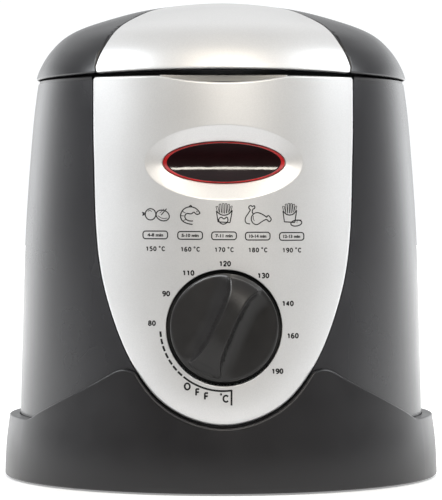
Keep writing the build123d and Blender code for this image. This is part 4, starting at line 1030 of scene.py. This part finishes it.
rim = circle(KNOB_R, 160)
kl = [circle(KNOB_R - d, 160) for d in (0.03, 0.12, 0.3, 0.6, 1.0, 1.6, 1.95, 2.05)]
kl = [l for l in kl]
bl = [bar] + [shrink(bar, d) for d in (0.15, 0.4, 0.9, 1.5)] + [shrink(bar, -d) for d in (0.6,)]
knob = surface_patch("dial_knob", rim, [], kl + bl, 0.95, 0.3, knob_front, knob_back, "dial", eps=0.02, mats=[M["knob"]])
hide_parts("control_knob")


def on_knob(x, z, out):
    Q = np.stack([x, z], 1)
    return knob_front(Q) + np.asarray(out)[:, None] * DN


# A black strip laid on the knob where its groove is: painted shade standing in for the dark inside of the groove.
V, F = stroke([(-2.8, -18.6), (2.8, -18.6)], 0.75, place=on_knob, lift=0.03, sink=0.25)
mark = new_object("knob_slot", V, F, "dial", smooth=False, mats=[M["mark"]])

# ------------------------------------------------------------------ lid
lc = cspline(LID, 2400)
ls = np.r_[0, np.cumsum(np.linalg.norm(np.diff(lc, axis=0), axis=1))]
LTOT = ls[-1]
prof_s = (LTOT - ls)[::-1]
prof_r = lc[::-1, 0].copy()
prof_z = lc[::-1, 1].copy()
prof_r[0] = 0.0
tr = np.gradient(prof_r, prof_s)
tz = np.gradient(prof_z, prof_s)


def plan_to_lid(P):
    """Plan x, y on the dome to the flat region used for meshing."""
    P = np.asarray(P, float)
    r = np.hypot(P[:, 0], P[:, 1])
    s = np.interp(r, prof_r, prof_s)
    k = s / np.maximum(r, 1e-9)
    return P * k[:, None]


def lid_pos(Q, sink):
    s = np.hypot(Q[:, 0], Q[:, 1])
    r = np.interp(s, prof_s, prof_r)
    z = np.interp(s, prof_s, prof_z)
    a, b = np.interp(s, prof_s, tr), np.interp(s, prof_s, tz)
    ln = np.hypot(a, b)
    nr, nz = -b / ln, a / ln
    c = np.where(s > 1e-9, Q[:, 0] / np.maximum(s, 1e-9), 1)
    d = np.where(s > 1e-9, Q[:, 1] / np.maximum(s, 1e-9), 0)
    rr = r - nr * sink
    return np.stack([rr * c, rr * d, z - nz * sink], 1)


arch_c = cspline(ARCH, 300)


def rim_s(a):
    """Length from the pole to the lid's lower edge in direction a."""
    x = 87.0 * np.cos(a)
    front = np.sin(a) < 0
    z = np.where(front, np.interp(np.abs(x), arch_c[::-1, 0], arch_c[::-1, 1]), 186.1)
    z = np.where(z < 186.1, 186.1, z)
    o = np.argsort(prof_z)
    return np.interp(z, prof_z[o], prof_s[o])


def round_over(d, r):
    k = np.clip(r - d, 0, r)
    return r - np.sqrt(np.maximum(r * r - k * k, 0))


tl = cspline(mirrored(TONGUE), 500)
tl_flat = plan_to_lid(tl)
ang = np.unwrap(np.arctan2(tl[[0, -1], 1], tl[[0, -1], 0]))
a_r = math.atan2(tl[0, 1], tl[0, 0])
a_l = math.atan2(tl[-1, 1], tl[-1, 0])
a_l = a_l if a_l < 0 else a_l - 2 * math.pi
front_a = np.linspace(a_l, a_r, 120)
rim_front = np.stack([rim_s(front_a) * np.cos(front_a), rim_s(front_a) * np.sin(front_a)], 1)
ext = lambda P, q: P
# tongue: its curved side, then the front edge
side_pts = tl_flat
front_edge = resample(np.vstack([side_pts[-1:], rim_front[1:-1], side_pts[:1]]), 1.1)
t_loop = np.vstack([resample(side_pts, 1.1), front_edge[1:-1]])
trim_loop = shrink(t_loop, 0.05)


def trim_front(Q):
    d = np.where(inside(Q, trim_loop), dist_to(Q, trim_loop), 0)
    return lid_pos(Q, round_over(d, 0.5))


def trim_back(Q):
    return lid_pos(Q, np.full(len(Q), 2.2))


loops = [shrink(trim_loop, d) for d in (0.03, 0.10, 0.22, 0.36, 0.52, 0.9)]
trim = surface_patch("lid_tongue", trim_loop, [], loops, 2.6, 0.7, trim_front, trim_back, "lid", flip=False, mats=[M["silver_paint"]])
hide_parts("lid_trim")

aa = np.linspace(0, 2 * math.pi, 420, endpoint=False)
shell_loop = np.stack([rim_s(aa) * np.cos(aa), rim_s(aa) * np.sin(aa)], 1)
cut = shrink(t_loop, -0.14)
cut_in = inside(cut, shell_loop * 0.9995)


def shell_front(Q):
    s = np.hypot(Q[:, 0], Q[:, 1])
    a = np.arctan2(Q[:, 1], Q[:, 0])
    d_rim = np.maximum(rim_s(a) - s, 0)
    vent = shell_vent(Q)
    d_cut = dist_to(Q, cut)
    ins = inside(Q, cut)
    sink = np.maximum(round_over(d_rim, 0.7), np.where(ins, 0, round_over(d_cut, 0.25)))
    sink = np.maximum(sink, round_over(np.maximum(vent, 0), 0.45))
    t = np.where(ins, np.clip(d_cut / 0.08, 0, 1), 0)
    sink = np.where(ins, 0.25 + 2.0 * t, sink)
    return lid_pos(Q, sink)


VC = plan_to_lid(np.array([[0.0, VENT_Y]]))[0]
vent_loop = plan_to_lid(ellipse(VENT_A + 0.4, VENT_B + 0.4, 140, (0, VENT_Y)))


def shell_vent(Q):
    return np.where(inside(Q, vent_loop), 0, dist_to(Q, vent_loop))


def shell_back(Q):
    d = dist_to(Q, cut)
    ins = inside(Q, cut)
    return lid_pos(Q, np.where(ins, 3.1, 2.4))


cut_ok = cut
loops = [shell_loop * (1 - d / LTOT) for d in (0.04, 0.15, 0.35, 0.7, 1.2)]
far = lambda P: P[np.hypot(P[:, 0], P[:, 1]) < rim_s(np.arctan2(P[:, 1], P[:, 0])) - 0.25]
cut_closed = cut.copy()
over = np.hypot(cut[:, 0], cut[:, 1]) > rim_s(np.arctan2(cut[:, 1], cut[:, 0])) - 0.02
k = (rim_s(np.arctan2(cut[:, 1], cut[:, 0])) - 0.02) / np.hypot(cut[:, 0], cut[:, 1])
cut_closed[over] = cut[over] * k[over][:, None]
vl = [vent_loop + normals2(vent_loop) * d * (-1 if area2(vent_loop) > 0 else 1) for d in (0.1, 0.25, 0.45, 0.9)]
open_cut = cut[~over]
shell_loops = loops + [cut_closed] + vl
shell = surface_patch("lid_dome", shell_loop, [vent_loop], shell_loops, 2.8, 0.55, shell_front, shell_back, "lid", mats=[M["dark_gloss_plastic"]])
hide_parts("lid_shell")

# hinge knuckle and arm of the lid
kp = [(95, 194.5), (88, 195), (82.6, 193.6), (84.4, 187.2), (90.5, 187.2), (92.6, 186.2)]
arc = [(HINGE_Y + 4.5 * math.cos(math.radians(a)), HINGE_Z + 4.5 * math.sin(math.radians(a))) for a in np.linspace(-122, 90, 22)]
kp = kp[:5] + arc[:-1]
area = area2(np.array(kp))
if area < 0:
    kp = kp[::-1]


def extrude_x(poly, half, r=0.8):
    P = resample(np.array(poly, float), 0.7, closed=True)
    rows = []
    for x, d in [(-half, r), (-half + 0.12, 0.55 * r), (-half + 0.45 * r, 0.2 * r), (-half + r, 0), (half - r, 0), (half - 0.45 * r, 0.2 * r),
                 (half - 0.12, 0.55 * r), (half, r)]:
        Q = shrink(P, d)
        rows.append(np.stack([np.full(len(Q), x), Q[:, 0], Q[:, 1]], 1))
    n = len(P)
    V = np.vstack(rows)
    F = []
    for i in range(len(rows) - 1):
        for k in range(n):
            m = (k + 1) % n
            F.append((i * n + k, (i + 1) * n + k, (i + 1) * n + m, i * n + m))
    F.append(tuple(range(n)))
    F.append(tuple(reversed(range((len(rows) - 1) * n, len(rows) * n))))
    return V, F


V, F = extrude_x(kp, 12.8)
knuckle = new_object("lid_knuckle", V, F, "lid", mats=[M["dark_gloss_plastic"]])

# ------------------------------------------------------------------ wire basket
BR = 61.0
wires = []
nv = 84
for i in range(nv):
    a = 2 * math.pi * i / nv
    inner = 9.0 if i % 4 == 0 else (27.0 if i % 2 == 0 else 44.0)
    prof = [(BR, z) for z in np.linspace(173.0, 106.0, 18)]
    prof += [(BR - 6 + 6 * math.cos(t), 105.6 - 6 * math.sin(t)) for t in np.linspace(0.15, math.pi / 2, 6)]
    prof += [(r, 99.6) for r in np.linspace(BR - 8, inner, 6)]
    path = [(r * math.cos(a), r * math.sin(a), z) for r, z in prof]
    wires.append(tube(path, 0.42, 5))
for z in np.arange(109.0, 171.0, 4.4):
    t = np.linspace(0, 2 * math.pi, 120, endpoint=False)
    wires.append(tube(np.stack([(BR - 0.75) * np.cos(t), (BR - 0.75) * np.sin(t), np.full(120, z)], 1), 0.38, 5, closed=True))
for r in (9.0, 14.5, 20.5, 27.0, 33.0, 38.5, 44.0, 49.5, 54.5):
    t = np.linspace(0, 2 * math.pi, 96, endpoint=False)
    wires.append(tube(np.stack([r * np.cos(t), r * np.sin(t), np.full(96, 100.35)], 1), 0.38, 5, closed=True))
V, F = join(wires)
basket = new_object("wire_basket", V, F, "basket", mats=[M["chrome_wire"]])
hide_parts("basket_mesh")

# ------------------------------------------------------------------ stage and light
# The floor is painted darker towards the front, and its glow is painted stronger towards the back and away from the
# object: painted light standing in for a dim room in front and bright light behind.
floor_mat = bpy.data.materials.new("floor")
floor_mat.use_nodes = True
nt = floor_mat.node_tree
fb = nt.nodes["Principled BSDF"]
fb.inputs["Roughness"].default_value = 0.65
fb.inputs["Specular IOR Level"].default_value = 0.25
fn = nt.nodes.new("ShaderNodeTexNoise")
fn.inputs["Scale"].default_value = 30.0
fg = nt.nodes.new("ShaderNodeNewGeometry")
fs = nt.nodes.new("ShaderNodeSeparateXYZ")
nt.links.new(fg.outputs["Position"], fs.inputs["Vector"])
fy = nt.nodes.new("ShaderNodeMapRange")
fy.interpolation_type = "SMOOTHSTEP"
fy.inputs["From Min"].default_value = -0.60
fy.inputs["From Max"].default_value = -0.12
fy.inputs["To Min"].default_value = 0.30
fy.inputs["To Max"].default_value = 1.0
nt.links.new(fs.outputs["Y"], fy.inputs["Value"])
fr = nt.nodes.new("ShaderNodeMapRange")
fr.inputs["To Min"].default_value = 0.80
fr.inputs["To Max"].default_value = 0.82
nt.links.new(fn.outputs["Fac"], fr.inputs["Value"])
fm = nt.nodes.new("ShaderNodeMath")
fm.operation = "MULTIPLY"
nt.links.new(fr.outputs["Result"], fm.inputs[0])
nt.links.new(fy.outputs["Result"], fm.inputs[1])
nt.links.new(fm.outputs["Value"], fb.inputs["Base Color"])
# painted glow of the floor, weakest in front and near the object
fe = nt.nodes.new("ShaderNodeMath")
fe.operation = "MULTIPLY"
nt.links.new(fy.outputs["Result"], fe.inputs[0])
fz = nt.nodes.new("ShaderNodeMapRange")
fz.inputs["From Min"].default_value = -0.10
fz.inputs["From Max"].default_value = 0.10
fz.inputs["To Min"].default_value = 0.30
fz.inputs["To Max"].default_value = 0.60
nt.links.new(fs.outputs["Y"], fz.inputs["Value"])
fl = nt.nodes.new("ShaderNodeVectorMath")
fl.operation = "LENGTH"
nt.links.new(fg.outputs["Position"], fl.inputs[0])
ff = nt.nodes.new("ShaderNodeMapRange")
ff.inputs["From Min"].default_value = 0.30
ff.inputs["From Max"].default_value = 1.30
ff.inputs["To Min"].default_value = 0.0
ff.inputs["To Max"].default_value = 1.1
nt.links.new(fl.outputs["Value"], ff.inputs["Value"])
fa = nt.nodes.new("ShaderNodeMath")
fa.operation = "ADD"
nt.links.new(fz.outputs["Result"], fa.inputs[0])
nt.links.new(ff.outputs["Result"], fa.inputs[1])
nt.links.new(fa.outputs["Value"], fe.inputs[1])
nt.links.new(fe.outputs["Value"], fb.inputs["Emission Strength"])
fb.inputs["Emission Color"].default_value = (1, 1, 1, 1)
me = bpy.data.meshes.new("floor")
me.from_pydata([(-6, -6, 0), (6, -6, 0), (6, 6, 0), (-6, 6, 0)], [], [(0, 1, 2, 3)])
floor = bpy.data.objects.new("floor", me)
bpy.context.scene.collection.objects.link(floor)
me.materials.append(floor_mat)

world = bpy.data.worlds.new("studio")
bpy.context.scene.world = world
world.use_nodes = True
wn, wl = world.node_tree.nodes, world.node_tree.links
bg = wn["Background"]
wt = wn.new("ShaderNodeTexCoord")
sp = wn.new("ShaderNodeSeparateXYZ")
wl.new(wt.outputs["Generated"], sp.inputs["Vector"])
# the room is dark behind the camera and bright beside and behind the object
ramp_y = [(-1.0, 0.12), (-0.906, 0.16), (-0.707, 0.22), (-0.5, 0.28), (-0.17, 0.34), (-0.02, 0.42), (0.12, 0.60), (0.36, 0.98), (0.53, 1.6),
          (0.72, 2.7), (0.86, 2.5), (0.94, 1.5), (0.985, 1.06), (1.0, 1.06)]
cr = wn.new("ShaderNodeValToRGB")
el = cr.color_ramp.elements
while len(el) > 1:
    el.remove(el[-1])
for k, (yy, ll) in enumerate(ramp_y):
    e = el[0] if k == 0 else el.new((yy + 1) / 2)
    e.position = (yy + 1) / 2
    warm = min(1.0, max(0.0, (-0.2 - yy) / 0.6))
    e.color = (ll / 4 * (0.985 + 0.065 * warm), ll / 4 * (0.998 - 0.02 * warm), ll / 4 * (1.01 - 0.16 * warm), 1)
wr = wn.new("ShaderNodeMapRange")
wr.inputs["From Min"].default_value = -1.0
wr.inputs["From Max"].default_value = 1.0
wl.new(sp.outputs["Y"], wr.inputs["Value"])
wl.new(wr.outputs["Result"], cr.inputs["Fac"])
# the bright screens stand low; overhead is plainer
wg = wn.new("ShaderNodeMapRange")
wg.interpolation_type = "SMOOTHSTEP"
wg.inputs["From Min"].default_value = 0.06
wg.inputs["From Max"].default_value = 0.40
wg.inputs["To Min"].default_value = 4.0
wg.inputs["To Max"].default_value = 1.25
wl.new(sp.outputs["Z"], wg.inputs["Value"])
ws = wn.new("ShaderNodeVectorMath")
ws.operation = "SCALE"
wl.new(cr.outputs["Color"], ws.inputs[0])
wl.new(wg.outputs["Result"], ws.inputs["Scale"])
wz = wn.new("ShaderNodeMapRange")
wz.interpolation_type = "SMOOTHSTEP"
wz.inputs["From Min"].default_value = 0.30
wz.inputs["From Max"].default_value = 0.95
wz.inputs["To Min"].default_value = 0.0
wz.inputs["To Max"].default_value = 0.36
wl.new(sp.outputs["Z"], wz.inputs["Value"])
wa = wn.new("ShaderNodeVectorMath")
wa.operation = "ADD"
wl.new(ws.outputs["Vector"], wa.inputs[0])
wl.new(wz.outputs["Result"], wa.inputs[1])
wl.new(wa.outputs["Vector"], bg.inputs["Color"])
bg.inputs["Strength"].default_value = 1.0


def area_light(name, loc, target, size, power, color=(1, 1, 1), size_y=None):
    d = bpy.data.lights.new(name, "AREA")
    d.shape = "RECTANGLE" if size_y else "SQUARE"
    d.size = size
    if size_y:
        d.size_y = size_y
    d.energy = power
    d.color = color
    o = bpy.data.objects.new(name, d)
    bpy.context.scene.collection.objects.link(o)
    o.location = loc
    o.rotation_euler = (Vector(target) - Vector(loc)).to_track_quat("-Z", "Y").to_euler()
    return o


sl = area_light("side_left", (-1.18, -0.25, 0.95), (0, 0, 0.11), 0.7, 13.0, (0.94, 0.975, 1.0))
sr = area_light("side_right", (1.18, -0.25, 0.95), (0, 0, 0.11), 0.7, 11.8, (0.94, 0.975, 1.0))
ftop = area_light("front_top", (0.0, -0.36, 0.47), (0, -0.09, 0.12), 0.26, 0.42, (1.0, 0.87, 0.68))
fill = area_light("front_fill", (0.14, -1.0, 0.82), (0, 0, 0.11), 0.5, 4.6, (1.0, 0.955, 0.88))
strip = area_light("lens_strip", (0.0, -1.30, 0.185), (0, -0.09, 0.146), 1.22, 6.2, (1.0, 0.95, 0.84), size_y=0.06)
spark = area_light("knob_top", (-0.22, -0.27, 0.60), (0, -0.10, 0.09), 0.18, 4.4, (0.95, 0.97, 1.0))


def only(light, objs, state):
    """The light reaches, or spares, the given pieces."""
    c = bpy.data.collections.new(light.name + "_set")
    for o in objs:
        c.objects.link(o)
    light.light_linking.receiver_collection = c
    for k in range(len(objs)):
        c.collection_objects[k].light_linking.link_state = state


only(fill, [lens], "EXCLUDE")
only(ftop, [lens, base], "EXCLUDE")
only(sl, [lens, knob], "EXCLUDE")
only(sr, [lens, knob], "EXCLUDE")
only(strip, [lens], "INCLUDE")
only(spark, [knob], "INCLUDE")

bpy.context.scene.view_settings.view_transform = "Standard"
bpy.context.scene.view_settings.look = "None"
bpy.context.scene.view_settings.exposure = 0.0
bpy.context.scene.view_settings.gamma = 1.0
